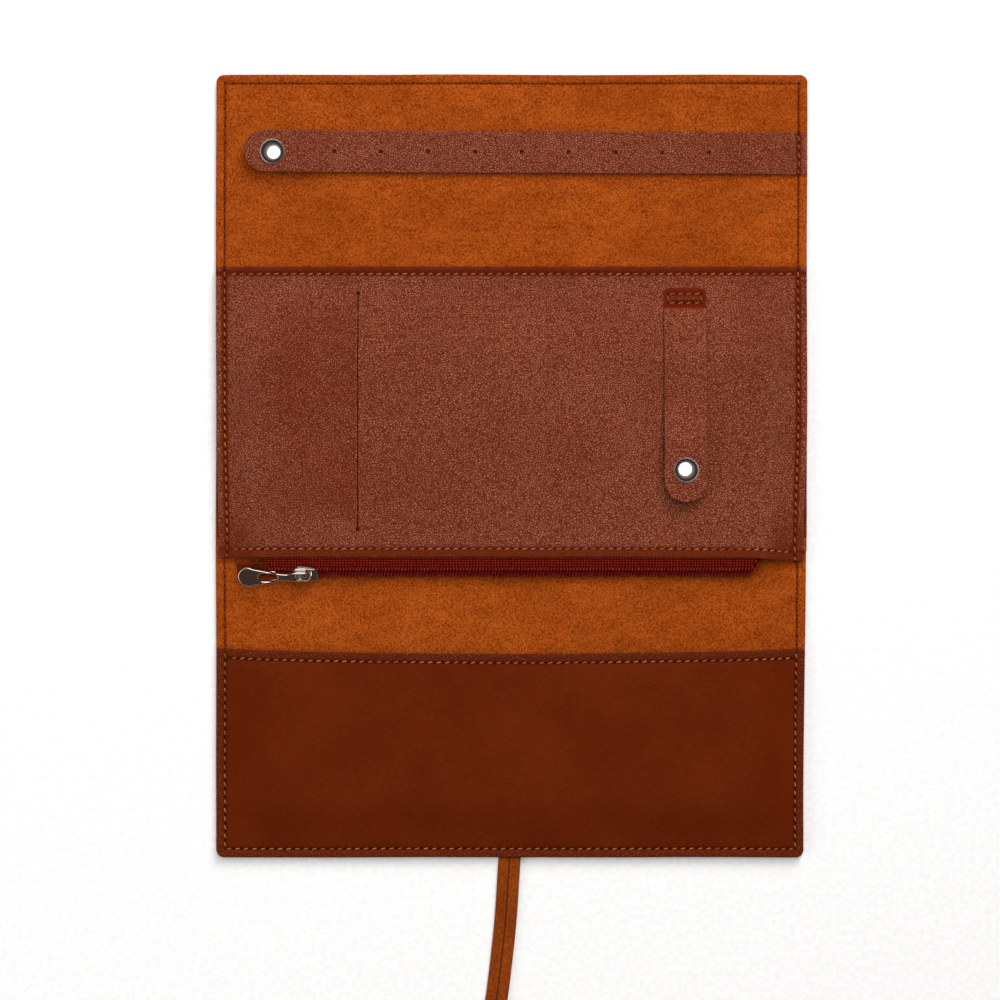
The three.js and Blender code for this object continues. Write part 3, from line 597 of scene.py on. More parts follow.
def make_stage():
    scene = bpy.context.scene
    scene.view_settings.view_transform = "Standard"
    view_width = 0.388  # the view is square, and this wide where the case lies
    view_centre = (-0.0045, -0.0132)
    lens = 100
    sensor = 36
    camera = bpy.data.cameras.new("camera")
    camera.lens = lens
    camera.sensor_width = sensor
    camera.clip_end = 50
    holder = bpy.data.objects.new("camera", camera)
    holder.location = (*view_centre, view_width * lens / sensor)
    scene.collection.objects.link(holder)
    scene.camera = holder

    def area(name, place, size, power, reflected=True):
        light = bpy.data.lights.new(name, "AREA")
        light.shape = "DISK"
        light.size = size
        light.energy = power
        lamp = bpy.data.objects.new(name, light)
        lamp.location = place
        aim = Vector((0, 0, 0)) - Vector(place)
        lamp.rotation_euler = aim.to_track_quat("-Z", "Y").to_euler()
        lamp.visible_camera = False
        lamp.visible_glossy = reflected
        scene.collection.objects.link(lamp)

    area("overhead", (0.0, 0.1, 1.35), 1.15, 6.5)
    area("key", (0.45, 1.1, 0.95), 0.9, 15, reflected=False)
    area("fill", (-1.2, -0.5, 0.9), 1.2, 8, reflected=False)
    sun = bpy.data.lights.new("daylight", "SUN")
    sun.energy = 1.15
    sun.angle = math.radians(50)
    sky = bpy.data.objects.new("daylight", sun)
    sky.rotation_euler = (math.radians(-30), 0, math.radians(-20))
    sky.visible_glossy = False
    scene.collection.objects.link(sky)

    world = bpy.data.worlds.new("studio")
    world.use_nodes = True
    scene.world = world
    nodes, links = world.node_tree.nodes, world.node_tree.links
    where = nodes.new("ShaderNodeTexCoord")
    split = nodes.new("ShaderNodeSeparateXYZ")
    shade = nodes.new("ShaderNodeValToRGB")
    links.new(where.outputs["Generated"], split.inputs[0])
    links.new(split.outputs["Z"], shade.inputs[0])
    links.new(shade.outputs[0], nodes["Background"].inputs["Color"])
    steps = shade.color_ramp.elements
    dim = (0.05, 0.034, 0.026)
    steps[0].position, steps[0].color = 0.0, (0.85, 0.85, 0.85, 1)
    steps[1].position, steps[1].color = 1.0, (0.3, 0.3, 0.3, 1)
    for position, shade_of_wall in ((0.05, (0.8, 0.8, 0.8)), (0.13, dim), (0.75, dim)):
        step = steps.new(position)
        step.color = (*shade_of_wall, 1)
    nodes["Background"].inputs["Strength"].default_value = 1.0

    half, height = 12000, -0.05
    corners = [(x * half, y * half, height) for x, y in ((-1, -1), (1, -1), (1, 1), (-1, 1))]
    mesh_object("floor", corners, [(0, 1, 2, 3)], plain("pale_floor", (0.86, 0.86, 0.86), 0.9))


make_stage()

# ---- the tie

TIE_WIDTH = 8.6
TIE_THICK = 2.2
TIE_EDGE = 1.1  # radius of its edges
TIE_SEAM_DEPTH = 0.5
TIE_SEAM_WIDTH = 0.2
TIE_SEAM_SHADE = 0.3  # how far from the seam's line the suede is darker
TIE_ACROSS = (0.0, 0.12, 0.28, 0.6, 1.3, 2.2, 3.1, 3.6, 3.9, 4.15)  # from the middle of its face
TIE_TONGUE = ((0.3, 0.45), (1.1, 0.1))  # how far in, and its share of the thickness
TIE_LEAD = [(-0.8, -151.8), (-2.5, -177.6), (-5.9, -206.8), (-10.2, -232), (-13.4, -255)]
TIE_COIL = Vector((39.5, -268))
TIE_COIL_RADIUS = 54
TIE_TURNS = 1.66
TIE_TURN_PITCH = 3.7
TIE_TWIST_FROM = -209  # the tie turns onto its edge between these two places along Y
TIE_TWIST_TO = -258


def catmull(points, steps):
    """A smooth curve through the points."""
    ends = [points[0] * 2 - points[1], *points, points[-1] * 2 - points[-2]]
    out = []
    for a, b, c, d in zip(ends, ends[1:], ends[2:], ends[3:]):
        for i in range(steps):
            t = i / steps
            square = 2 * a - 5 * b + 4 * c - d
            cube = 3 * b - a - 3 * c + d
            out.append(0.5 * (2 * b + (c - a) * t + square * t * t + cube * t**3))
    return out + [points[-1]]


def tie_route():
    """Centreline points, and at each the angle that the tie has turned towards its edge."""
    coil = []
    per_turn = 64
    for i in range(round(TIE_TURNS * per_turn) + 1):
        angle = math.pi + 2 * math.pi * i / per_turn
        radius = TIE_COIL_RADIUS - TIE_TURN_PITCH * i / per_turn
        coil.append(TIE_COIL + radius * Vector((math.cos(angle), math.sin(angle))))
    lead = catmull([Vector(p) for p in TIE_LEAD] + [coil[0]], 8)
    route = []
    for i, point in enumerate(lead[:-1] + coil):
        edge = smooth((TIE_TWIST_FROM - point.y) / (TIE_TWIST_FROM - TIE_TWIST_TO))
        if i >= len(lead) - 1:
            edge = 1.0
        lean = edge * math.pi / 2
        height = TIE_THICK / 2 * math.cos(lean) + TIE_WIDTH / 2 * math.sin(lean) + CLEAR
        route.append((Vector((point.x, point.y, height)), lean))
    return route


def tie_frames(route):
    """For each route point: the point, the direction across the tie's width, and out of its face."""
    frames = []
    for i, (point, lean) in enumerate(route):
        ahead = route[min(i + 1, len(route) - 1)][0] - route[max(i - 1, 0)][0]
        ahead.z = 0
        side = ahead.normalized().cross(Vector((0, 0, 1)))
        up = Vector((0, 0, 1))
        across = math.cos(lean) * side + math.sin(lean) * up
        out = -math.sin(lean) * side + math.cos(lean) * up
        frames.append((point, across, out))
    return frames


def make_tie():
    """A strip folded lengthwise so that its edges meet in a sewn seam down the middle of one face."""
    half_w, half_t = TIE_WIDTH / 2, TIE_THICK / 2
    section = []
    for a in (*TIE_ACROSS, half_w):
        fall = groove(a, 0, TIE_SEAM_DEPTH, TIE_SEAM_WIDTH)
        section.append((a, (half_t - fall) * rim_share(half_w - a, TIE_EDGE)))
    section = [(-a, b) for a, b in reversed(section[1:])] + section
    section += [(a, -half_t * rim_share(half_w - abs(a), TIE_EDGE)) for a, b in reversed(section[1:-1])]
    frames = tie_frames(tie_route())
    sections = [[point + across * a + out * b for a, b in section] for point, across, out in frames]
    # a thin tongue between shell and lining, where the tie is sewn in
    point, across, out = frames[0]
    for distance, thick in TIE_TONGUE:
        root = Vector((point.x, point.y + distance, SHELL_TOP + CLEAR))
        sections.insert(0, [root + across * a + out * b * thick for a, b in section])
    # painted shade along the seam's groove, carried in the press attribute
    seam = [groove(a, 0, 1.0, TIE_SEAM_SHADE) if b > 0 else 0.0 for a, b in section]
    tie = loft("tie", sections, TIE, pressed=seam * len(sections))
    fit(tie, "lower_section", "tie_suede", "tie_strap", "tie_coil")
    return tie, frames


tie, tie_line = make_tie()

# ---- shell and lining


def side_wander(x, y):
    """How far a side edge strays from straight; the right one also draws in towards the bottom."""
    taper = 1.5 * smooth((60 - y) / 220) if x > 0 else 0.0
    return 0.35 * wave(3 * math.copysign(HALF_W, x), y, 60, 2.2) - taper


def case_place(x, y):
    """Rounds the case's corners and lets its hand-cut edges wander slightly."""
    for sx in (-1, 1):
        for sy in (-1, 1):
            if x * sx > HALF_W - CORNER and y * sy > HALF_L - CORNER:
                x, y = round_corner(x, y, sx * HALF_W, sy * HALF_L, CORNER)
    near_side = smooth((abs(x) - HALF_W + WANDER_FROM) / WANDER_FROM)
    near_end = smooth((abs(y) - HALF_L + WANDER_FROM) / WANDER_FROM)
    x += near_side * side_wander(x, y)
    y += 0.3 * near_end * wave(x, 3 * y, 50, 4.1)
    return x, y


def edge_distance(x, y):
    return min(HALF_W - abs(x), HALF_L - abs(y))


def case_press(x, y):
    return 0.7 * press_line(edge_distance(x, y), SEAM_INSET, 1.1)


def lining_top(x, y):
    ripple = 0.12 * wave(x, y, 26, 1.0) + 0.05 * wave(x, y, 7, 3.0)
    return LINING_TOP + ripple * smooth((HALF_W - abs(x)) / 8) - groove(edge_distance(x, y), SEAM_INSET)


def layer_surfaces(low, high, top, bottom):
    """Top and bottom of a skin whose rim is rounded."""
    middle = (low + high) / 2

    def over(x, y):
        return middle + (top(x, y) - middle) * rim_share(edge_distance(x, y))

    def under(x, y):
        return middle - (middle - bottom(x, y)) * rim_share(edge_distance(x, y))

    return over, under


Zone = namedtuple("Zone", "name low high bodies fold nodes")
# The skins' zones. Each lies across one joint: its two bodies, and where the bend lies along Y.
SKIN_ZONES = [
    Zone(
        "lower",
        -HALF_L,
        LOWER_SPINE,
        ("lower_section", "lower_spine"),
        (LOWER_OUTER - 0.8, LOWER_OUTER + 2.2),
        ("lower",),
    ),
    Zone(
        "lower_middle",
        LOWER_SPINE,
        MIDDLE,
        ("lower_spine", "middle_section"),
        (LOWER_INNER - 1.8, LOWER_INNER + 1.4),
        ("lower_spine",),
    ),
    Zone(
        "upper_middle",
        MIDDLE,
        UPPER_SPINE,
        ("middle_section", "upper_spine"),
        (UPPER_INNER - 0.8, UPPER_INNER + 2.5),
        ("middle", "upper_spine"),
    ),
    Zone(
        "upper",
        UPPER_SPINE,
        HALF_L,
        ("upper_spine", "upper_section"),
        (UPPER_OUTER - 2.0, UPPER_OUTER + 2.0),
        ("upper",),
    ),
]
SIDE_MARKS = inset_marks(HALF_W)


def bend(piece, zone):
    """Bakes a piece's transform into its mesh."""
    low, high = zone.fold
    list(zone.bodies)
    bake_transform(piece)


def shell_under(x, y):
    ripple = 0.06 * (1 + wave(x, y, 30, 8))
    return CLEAR + ripple + groove(edge_distance(x, y), SEAM_INSET, 0.5)


def make_skins():
    shell_faces = layer_surfaces(0, SHELL_TOP, lambda x, y: SHELL_TOP, shell_under)
    low = LINING_UNDER - CLEAR
    lining_faces = layer_surfaces(LINING_UNDER, LINING_TOP, lining_top, lambda x, y: low)
    xs = stations(-HALF_W, HALF_W, 4.0, SIDE_MARKS)
    steps = 10
    for zone in SKIN_ZONES:
        start, end = zone.fold
        folds = [start + (end - start) * k / steps for k in range(steps + 1)]
        ys = stations(zone.low, zone.high, 4.0, inset_marks(HALF_L) + folds)
        pieces = []
        for kind, faces, material, slot in (
            ("shell", shell_faces, PEBBLED, "shell_leather"),
            ("lining", lining_faces, SUEDE, "suede_lining"),
        ):
            name = f"{kind}_skin_{zone.name}"
            pieces.append(slab(name, xs, ys, *faces, material, case_place, case_press))
            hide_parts(*(f"{kind}_{node}" for node in zone.nodes))
            bend(pieces[-1], zone)


make_skins()

# ---- pouch

FRONT_LOW, FRONT_HIGH = span("pouch_front_panel")
POUCH_TOP = FRONT_HIGH.y
POUCH_MOUTH = FRONT_LOW.y
POUCH_OPEN_TOP = FRONT_HIGH.z
POUCH_SEAM_TOP = FRONT_LOW.z + PANEL
POUCH_SIDE_RUN = 12  # the pouch rises to its full height over this much beside its side seams,
POUCH_LOW_RUN = 6  # over this much more near its mouth,
POUCH_TOP_RUN = 34  # and over this much below its top seam
POUCH_BAND = 2.2  # turned edge along the pouch's top
POUCH_TOP_SEAM = 2.9
POUCH_MOUTH_SEAM = 3.3
SLIT_X = -59.2
SLIT_HALF = 0.26
SLIT_HOLE = 0.85
SLIT_TOP = 66.6
SLIT_BOTTOM = -24.4


def slit_window(y):
    return smooth((SLIT_TOP + 6 - y) / 18) * smooth((y - SLIT_BOTTOM + 6) / 18)


def pouch_low_part(y):
    """From 0 in the pouch's upper part to 1 near its mouth."""
    return smooth((20 - y) / 50)


def pouch_rise(x, y):
    """Share of the pouch's full height, from 0 at its seams to 1 where it stands open."""
    run = POUCH_SIDE_RUN + POUCH_LOW_RUN * pouch_low_part(y)
    side = smooth((HALF_W - SEAM_INSET - abs(x)) / run)
    return side * smooth((POUCH_TOP - POUCH_TOP_SEAM - 0.1 - y) / POUCH_TOP_RUN)


def pouch_waves(x, y):
    height = 0.5 * wave(x, y, 46, 5.5) + 0.22 * wave(x, y, 17, 9.1) - 0.55
    height *= smooth((y - POUCH_MOUTH) / 16)
    open_side = slit_window(y)
    away = x - SLIT_X
    if away < 0:
        height -= 1.0 * open_side * math.exp(away / 9)
    else:
        height += 0.25 * open_side * math.exp(-away / 8)
    return height


def pouch_seams(x, y):
    """Grooves that the pouch's seams press into its front."""
    side = groove(HALF_W - abs(x), SEAM_INSET)
    top = groove(POUCH_TOP - y, POUCH_TOP_SEAM, 0.34, 0.8)
    bottom = groove(y - POUCH_MOUTH, POUCH_MOUTH_SEAM)
    return side + top + bottom


def pouch_press_and_shade(x, y):
    seams = max(
        # pressed beside the side seams, over a reach widened for painted shade along the pouch's sides
        press_line(HALF_W - abs(x), SEAM_INSET, 2.0),
        press_line(POUCH_TOP - y, POUCH_TOP_SEAM, 1.4),
        0.75 * press_line(y - POUCH_MOUTH, POUCH_MOUTH_SEAM, 1.3),
        0.6 * smooth((POUCH_MOUTH + POUCH_MOUTH_SEAM - y) / 0.8),
        # painted shade at the pouch's two lower corners
        0.4 * smooth((abs(x) - 92) / 14) * smooth((POUCH_MOUTH + 28 - y) / 22),
        # painted shade left of the slit, where the panel dips under
        0.3 * slit_window(y) * smooth((SLIT_X - x) / 1.5) * smooth((x + HALF_W) / 30),
    )
    band = smooth((y - POUCH_TOP + POUCH_BAND + 0.4) / 0.6)
    return max(seams, 0.7 * band * smooth(HALF_W - abs(x) - SEAM_INSET))


def pouch_front(x, y):
    full = POUCH_OPEN_TOP - POUCH_SEAM_TOP
    rise = pouch_rise(x, y)
    band = 0.18 * smooth((y - POUCH_TOP + POUCH_BAND) / 0.7)
    return POUCH_SEAM_TOP + rise * (full + pouch_waves(x, y)) - pouch_seams(x, y) + band


def pouch_place(x, y):
    """Bows the pouch's mouth and pulls its two lower corners down to the side seams."""
    mouth = smooth((POUCH_MOUTH + 12 - y) / 12)
    corner = smooth((abs(x) - 90) / 22)
    near_side = smooth((abs(x) - HALF_W + WANDER_FROM) / WANDER_FROM)
    drawn_in = math.copysign(1.1 * pouch_low_part(y) + SIDE_SET_BACK, x)
    x += near_side * (side_wander(x, y) - drawn_in)
    return x, y + mouth * (0.45 * wave(x, 0, 55, 6.0) - (1.7 if x > 0 else 0.3) * corner)


def panel_distance(x, y, low, high):
    return min(HALF_W - abs(x), y - low, high - y)


def make_pouch_front():
    xs = stations(-HALF_W, HALF_W, 2.6, SIDE_MARKS + around(SLIT_X, SLIT_HALF, 0.6, 1.2, 2.2))
    ys = stations(
        POUCH_MOUTH,
        POUCH_TOP,
        2.6,
        [POUCH_MOUTH + e for e in (*EDGE_STEPS, 1.6, 2.4, 2.9, 3.3, 3.7, 4.2, 5.2)]
        + [POUCH_TOP - e for e in (*EDGE_STEPS, 1.4, 2.0, 2.5, 2.9, 3.3, 4.0)]
        + around(SLIT_TOP, 0.5, 1.2)
        + around(SLIT_BOTTOM, 0.5, 1.2),
    )

    def share(x, y):
        return rim_share(panel_distance(x, y, POUCH_MOUTH, POUCH_TOP))

    def over(x, y):
        return pouch_front(x, y) - PANEL / 2 * (1 - share(x, y))

    def under(x, y):
        return pouch_front(x, y) - PANEL + PANEL / 2 * (1 - share(x, y)) + pouch_seams(x, y)

    front = slab("pouch_front", xs, ys, over, under, PEBBLED, pouch_place, pouch_press_and_shade)
    sides, ends = (SLIT_X - SLIT_HALF, SLIT_X + SLIT_HALF), (SLIT_BOTTOM, SLIT_TOP)
    holes = [round_cutter(SLIT_HOLE, SLIT_X, y, 0, CUT_HIGH) for y in (SLIT_TOP, SLIT_BOTTOM)]
    carve(front, box_cutter(sides, ends, 0, CUT_HIGH), *holes)
    fit(front, "middle_section", "pebbled_leather", "pouch_front_panel")


def make_pouch_layers():
    """The slit pocket's lining and the pouch's back, under the front."""
    for name, node, slot, material, thick, step in (
        ("slit_lining", "slit_pocket_lining", "pocket_leather", POCKET, 0.5, 3),
        ("pouch_back", "pouch_back_panel", "suede_lining", SUEDE, 0.8, 5),
    ):
        low, high = span(node)
        seam = low.z + thick
        full = high.z - seam

        def over(x, y, seam=seam, full=full):
            waves = 0.3 * pouch_waves(x, y) if full > 3 else 0.0
            return seam + pouch_rise(x, y) * (full - 0.5 + waves)

        def under(x, y, over=over, thick=thick):
            return over(x, y) - thick

        xs = stations(-HALF_W + 0.4, HALF_W - 0.4, step, [-100, 100])
        ys = stations(low.y, high.y - 0.4, step)
        piece = slab(name, xs, ys, over, under, material)
        fit(piece, "middle_section", slot, node)


make_pouch_front()
make_pouch_layers()

# ---- lower pocket

POCKET_LOW, POCKET_HIGH = span("lower_pocket_panel")
POCKET_SEAM_TOP = POCKET_LOW.z + PANEL
POCKET_OPEN = 3.4  # how far the pocket stands off its seams
POCKET_SIDE_RUN = 16  # over this much beside its side seams
POCKET_LOW_RUN = 20  # and over this much above its lower seam
POCKET_MOUTH_SEAM = 3.5
POCKET_BOW = 1.9  # the mouth sags towards the middle


def pocket_rise(x, y):
    side = smooth((HALF_W - SEAM_INSET - abs(x)) / POCKET_SIDE_RUN)
    return side * smooth((y + HALF_L - SEAM_INSET) / POCKET_LOW_RUN)


def pocket_mouth(x):
    return POCKET_HIGH.y + 0.6 - POCKET_BOW * (1 - (x / HALF_W) ** 2) + 0.2 * wave(x, 0, 50, 7.7)


def pocket_place(x, y):
    x, y = case_place(x, y)
    x -= math.copysign(SIDE_SET_BACK, x) * smooth((abs(x) - HALF_W + 10) / 10)
    top = smooth((y - POCKET_LOW.y) / (POCKET_HIGH.y - POCKET_LOW.y))
    return x, y + (pocket_mouth(x) - POCKET_HIGH.y) * top


def pocket_top(x, y):
    """Height of the pocket over a point that pocket_place hasn't moved."""
    waves = 0.35 * wave(x, y, 52, 12.5) + 0.12 * wave(x, y, 18, 2.9)
    seams = groove(edge_distance(x, y), SEAM_INSET)
    seams += groove(POCKET_HIGH.y - y, POCKET_MOUTH_SEAM, 0.3, 0.8)
    mouth_lift = 0.25 * smooth((y - POCKET_HIGH.y + 3) / 3)
    return POCKET_SEAM_TOP + pocket_rise(x, y) * (POCKET_OPEN + waves + mouth_lift) - seams


def pocket_press(x, y):
    """Pressed beside its seams; below 0 on the margin outside them, where its grain shows."""
    mouth = POCKET_HIGH.y - y
    seams = max(
        press_line(edge_distance(x, y), SEAM_INSET, 1.3),
        press_line(mouth, POCKET_MOUTH_SEAM, 1.2),
    )
    margin = smooth((SEAM_INSET - 0.2 - min(edge_distance(x, y), mouth)) / 0.8)
    return seams - margin


def make_lower_pocket():
    xs = stations(-HALF_W, HALF_W, 3.2, SIDE_MARKS)
    ys = stations(
        POCKET_LOW.y,
        POCKET_HIGH.y,
        3.2,
        [POCKET_LOW.y + e for e in (*EDGE_STEPS, 1.4, 2.2, 2.6, 3.0, 3.4, 3.8, 4.8)]
        + [POCKET_HIGH.y - e for e in (*EDGE_STEPS, 1.6, 2.6, 3.1, 3.5, 3.9, 4.4, 5.4)],
    )

    def share(x, y):
        return rim_share(panel_distance(x, y, POCKET_LOW.y, POCKET_HIGH.y))

    def over(x, y):
        return pocket_top(x, y) - PANEL / 2 * (1 - share(x, y))

    def under(x, y):
        return max(LINING_TOP + 0.03, pocket_top(x, y) - PANEL) + PANEL / 2 * (1 - share(x, y))

    pocket = slab("lower_pocket", xs, ys, over, under, POCKET, pocket_place, pocket_press)
    fit(pocket, "lower_section", "pocket_leather", "lower_pocket_panel")


make_lower_pocket()

# ---- straps

STRAP = 1.4  # thickness
STRAP_EDGE = 0.5  # radius of its edges
STRAP_LIFT = 30  # it starts to lift this far from its press stud,
STRAP_LIFT_RUN = 24  # and is at the stud's height after this much more
STRAP_EDGE_STEPS = (0.05, 0.15, 0.3, 0.5)
EARRING_LOW, EARRING_HIGH = span("earring_strap")
EARRING_HINGE = pivot("earring_strap_lift")
EARRING_Y = EARRING_HINGE.y
EARRING_SHIFT = 0.4
EARRING_DROP = 0.9  # the strap was sewn a little low at its right end
EARRING_HOLES = 9
EARRING_PITCH = 18.1
EARRING_FIRST = -68.5
EARRING_HOLE = 0.88
EARRING_CUT_HIGH = 12
EARRING_SNAP_X = (span("earring_snap_cap")[0].x + span("earring_snap_cap")[1].x) / 2
KEEPER_LOW, KEEPER_HIGH = span("keeper_strap")
KEEPER_HINGE = pivot("keeper_strap_lift")
KEEPER_X = KEEPER_HINGE.x
KEEPER_SEWN_TOP = span("keeper_strap_sewn_end")[1].y
STRAP_HALF = (EARRING_HIGH.y - EARRING_LOW.y) / 2


def strap_rim(u, v, end):
    """Rounded edge of a strap: u along it from its round tip, v across it from the middle."""
    return rim_share(min(STRAP_HALF - abs(v), u if u < end else STRAP_HALF), STRAP_EDGE)


def strap_stations(low, high, marks):
    return stations(low, high, 2.0, [low + e for e in (*STRAP_EDGE_STEPS, 1.5, 3, 5, 7)] + marks)


EDGES_ACROSS = [s * (STRAP_HALF - e) for e in (*STRAP_EDGE_STEPS, 1.0) for s in (-1, 1)]
ACROSS = stations(-STRAP_HALF, STRAP_HALF, 1.4, EDGES_ACROSS)


def earring_under(x):
    """Underside of the earring strap, which lies on the lining and lifts to its press stud."""
    snapped = EARRING_HIGH.z - STRAP
    lift = smooth((EARRING_SNAP_X + STRAP_LIFT - x) / STRAP_LIFT_RUN)
    base = LINING_TOP + 0.25 + 0.45 * (1 + wave(x, 0, 42, 3.3)) * smooth((100 - x) / 20)
    return base + (snapped - base) * lift


def earring_body(x, y):
    """Underside and top of the earring strap, which ends flat under the side seam."""
    sewn = smooth((x - EARRING_HINGE.x) / 3)
    v = (y - EARRING_Y) / STRAP_HALF
    crown = 0.16 * (1 - v * v) + 0.08 * wave(x, y, 12, 4.4)
    low = earring_under(x) * (1 - sewn) + (LINING_TOP + CLEAR) * sewn
    high = low + (STRAP + crown) * (1 - 0.35 * sewn) - 0.6 * groove(HALF_W - x, SEAM_INSET)
    return low, high


def earring_place(x, y):
    v = y - EARRING_Y
    if x - EARRING_LOW.x < STRAP_HALF and abs(v) > 1e-9:
        x, v = round_corner(x, v, EARRING_LOW.x, math.copysign(STRAP_HALF, v), STRAP_HALF)
    return x, EARRING_Y + v + EARRING_SHIFT - EARRING_DROP * (x - EARRING_LOW.x) / (2 * HALF_W)


def strap_surfaces(body, rim):
    """Top and underside of a strap whose edges are rounded."""

    def face(side):
        def height(x, y):
            low, high = body(x, y)
            return (low + high) / 2 + side * (high - low) / 2 * rim(x, y)

        return height

    return face(1), face(-1)


def make_earring_strap():
    xs = strap_stations(EARRING_LOW.x, HALF_W - 0.2, around(EARRING_HINGE.x, 1, 2, 3))
    ys = [EARRING_Y + v for v in ACROSS]
    faces = strap_surfaces(earring_body, lambda x, y: strap_rim(x - EARRING_LOW.x, y - EARRING_Y, 6))

    def press(x, y):
        return press_line(HALF_W - x, SEAM_INSET, 1.7)

    strap = slab("earring_strap_leather", xs, ys, *faces, PEBBLED, earring_place, press)
    spots = [EARRING_FIRST + i * EARRING_PITCH for i in range(EARRING_HOLES)]
    middles = [(x, earring_place(x, EARRING_Y)[1]) for x in spots]
    carve(strap, *[round_cutter(EARRING_HOLE, x, y, 0, EARRING_CUT_HIGH) for x, y in middles])
    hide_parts("earring_strap", "earring_strap_sewn_end")
    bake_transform(strap)


KEEPER_BOX_HALF = Vector((6.4, 1.75))  # the box of stitches that holds the keeper strap
KEEPER_BOX_CENTRE = Vector((KEEPER_X, KEEPER_HINGE.y + 3.6))


def keeper_box_distance(x, y):
    """Distance from the box of stitches; below 0 inside it."""
    dx = abs(x - KEEPER_BOX_CENTRE.x) - KEEPER_BOX_HALF.x
    dy = abs(y - KEEPER_BOX_CENTRE.y) - KEEPER_BOX_HALF.y
    return max(dx, dy)


def keeper_under(y):
    """Underside of the keeper strap, over the pouch front and up to its press stud."""
    snapped = KEEPER_HIGH.z - STRAP
    lift = smooth((STRAP_LIFT - y) / STRAP_LIFT_RUN)
    base = pouch_front(KEEPER_X, y) + 0.35
    return base + (snapped - base) * lift


def keeper_body(x, y):
    """Underside and top of the keeper strap, which ends pressed flat under its box of stitches."""
    sewn = smooth((y - KEEPER_HINGE.y + 1.6) / 2.2)
    v = (x - KEEPER_X) / STRAP_HALF
    crown = 0.18 * (1 - v * v) + 0.08 * wave(x, y, 12, 6.4)
    low = keeper_under(y) * (1 - sewn) + (pouch_front(x, y) - 0.15) * sewn
    ridge = 0.35 * smooth(-keeper_box_distance(x, y) / 1.2)
    pressed = 0.65 + ridge - groove(keeper_box_distance(x, y), 0, 0.4, 0.7)
    return low, low + (STRAP + crown) * (1 - sewn) + pressed * sewn


def keeper_place(x, y):
    u = x - KEEPER_X
    if y - KEEPER_LOW.y < STRAP_HALF and abs(u) > 1e-9:
        u, y = round_corner(u, y, math.copysign(STRAP_HALF, u), KEEPER_LOW.y, STRAP_HALF)
    if KEEPER_SEWN_TOP - y < 2 and abs(u) > 1e-9:
        u, y = round_corner(u, y, math.copysign(STRAP_HALF, u), KEEPER_SEWN_TOP, 2)
    return KEEPER_X + u + 0.15 * wave(0, y, 30, 5.1), y


def make_keeper_strap():
    tail = [KEEPER_SEWN_TOP - e for e in STRAP_EDGE_STEPS]
    sewn = [KEEPER_HINGE.y + 0.4 * k for k in range(1, 19)]
    marks = around(KEEPER_HINGE.y, 1, 2, 3) + sewn + tail
    ys = strap_stations(KEEPER_LOW.y, KEEPER_SEWN_TOP, marks)
    xs = [KEEPER_X + v for v in stations(-STRAP_HALF, STRAP_HALF, 0.9, ACROSS)]

    def rim(x, y):
        share = strap_rim(y - KEEPER_LOW.y, x - KEEPER_X, 6)
        return min(share, rim_share(KEEPER_SEWN_TOP - y, STRAP_EDGE))

    def press(x, y):
        inside = smooth(-keeper_box_distance(x, y) / 1.4)
        return smooth((y - KEEPER_HINGE.y + 0.4) / 0.8) * (1 - 0.6 * inside)

    faces = strap_surfaces(keeper_body, rim)
    strap = slab("keeper_strap_leather", xs, ys, *faces, PEBBLED, keeper_place, press)
    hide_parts("keeper_strap", "keeper_strap_sewn_end")
    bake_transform(strap)


make_earring_strap()
make_keeper_strap()

# ---- press studs

SNAP_RIM = 2.15  # from a cap's underside to its top


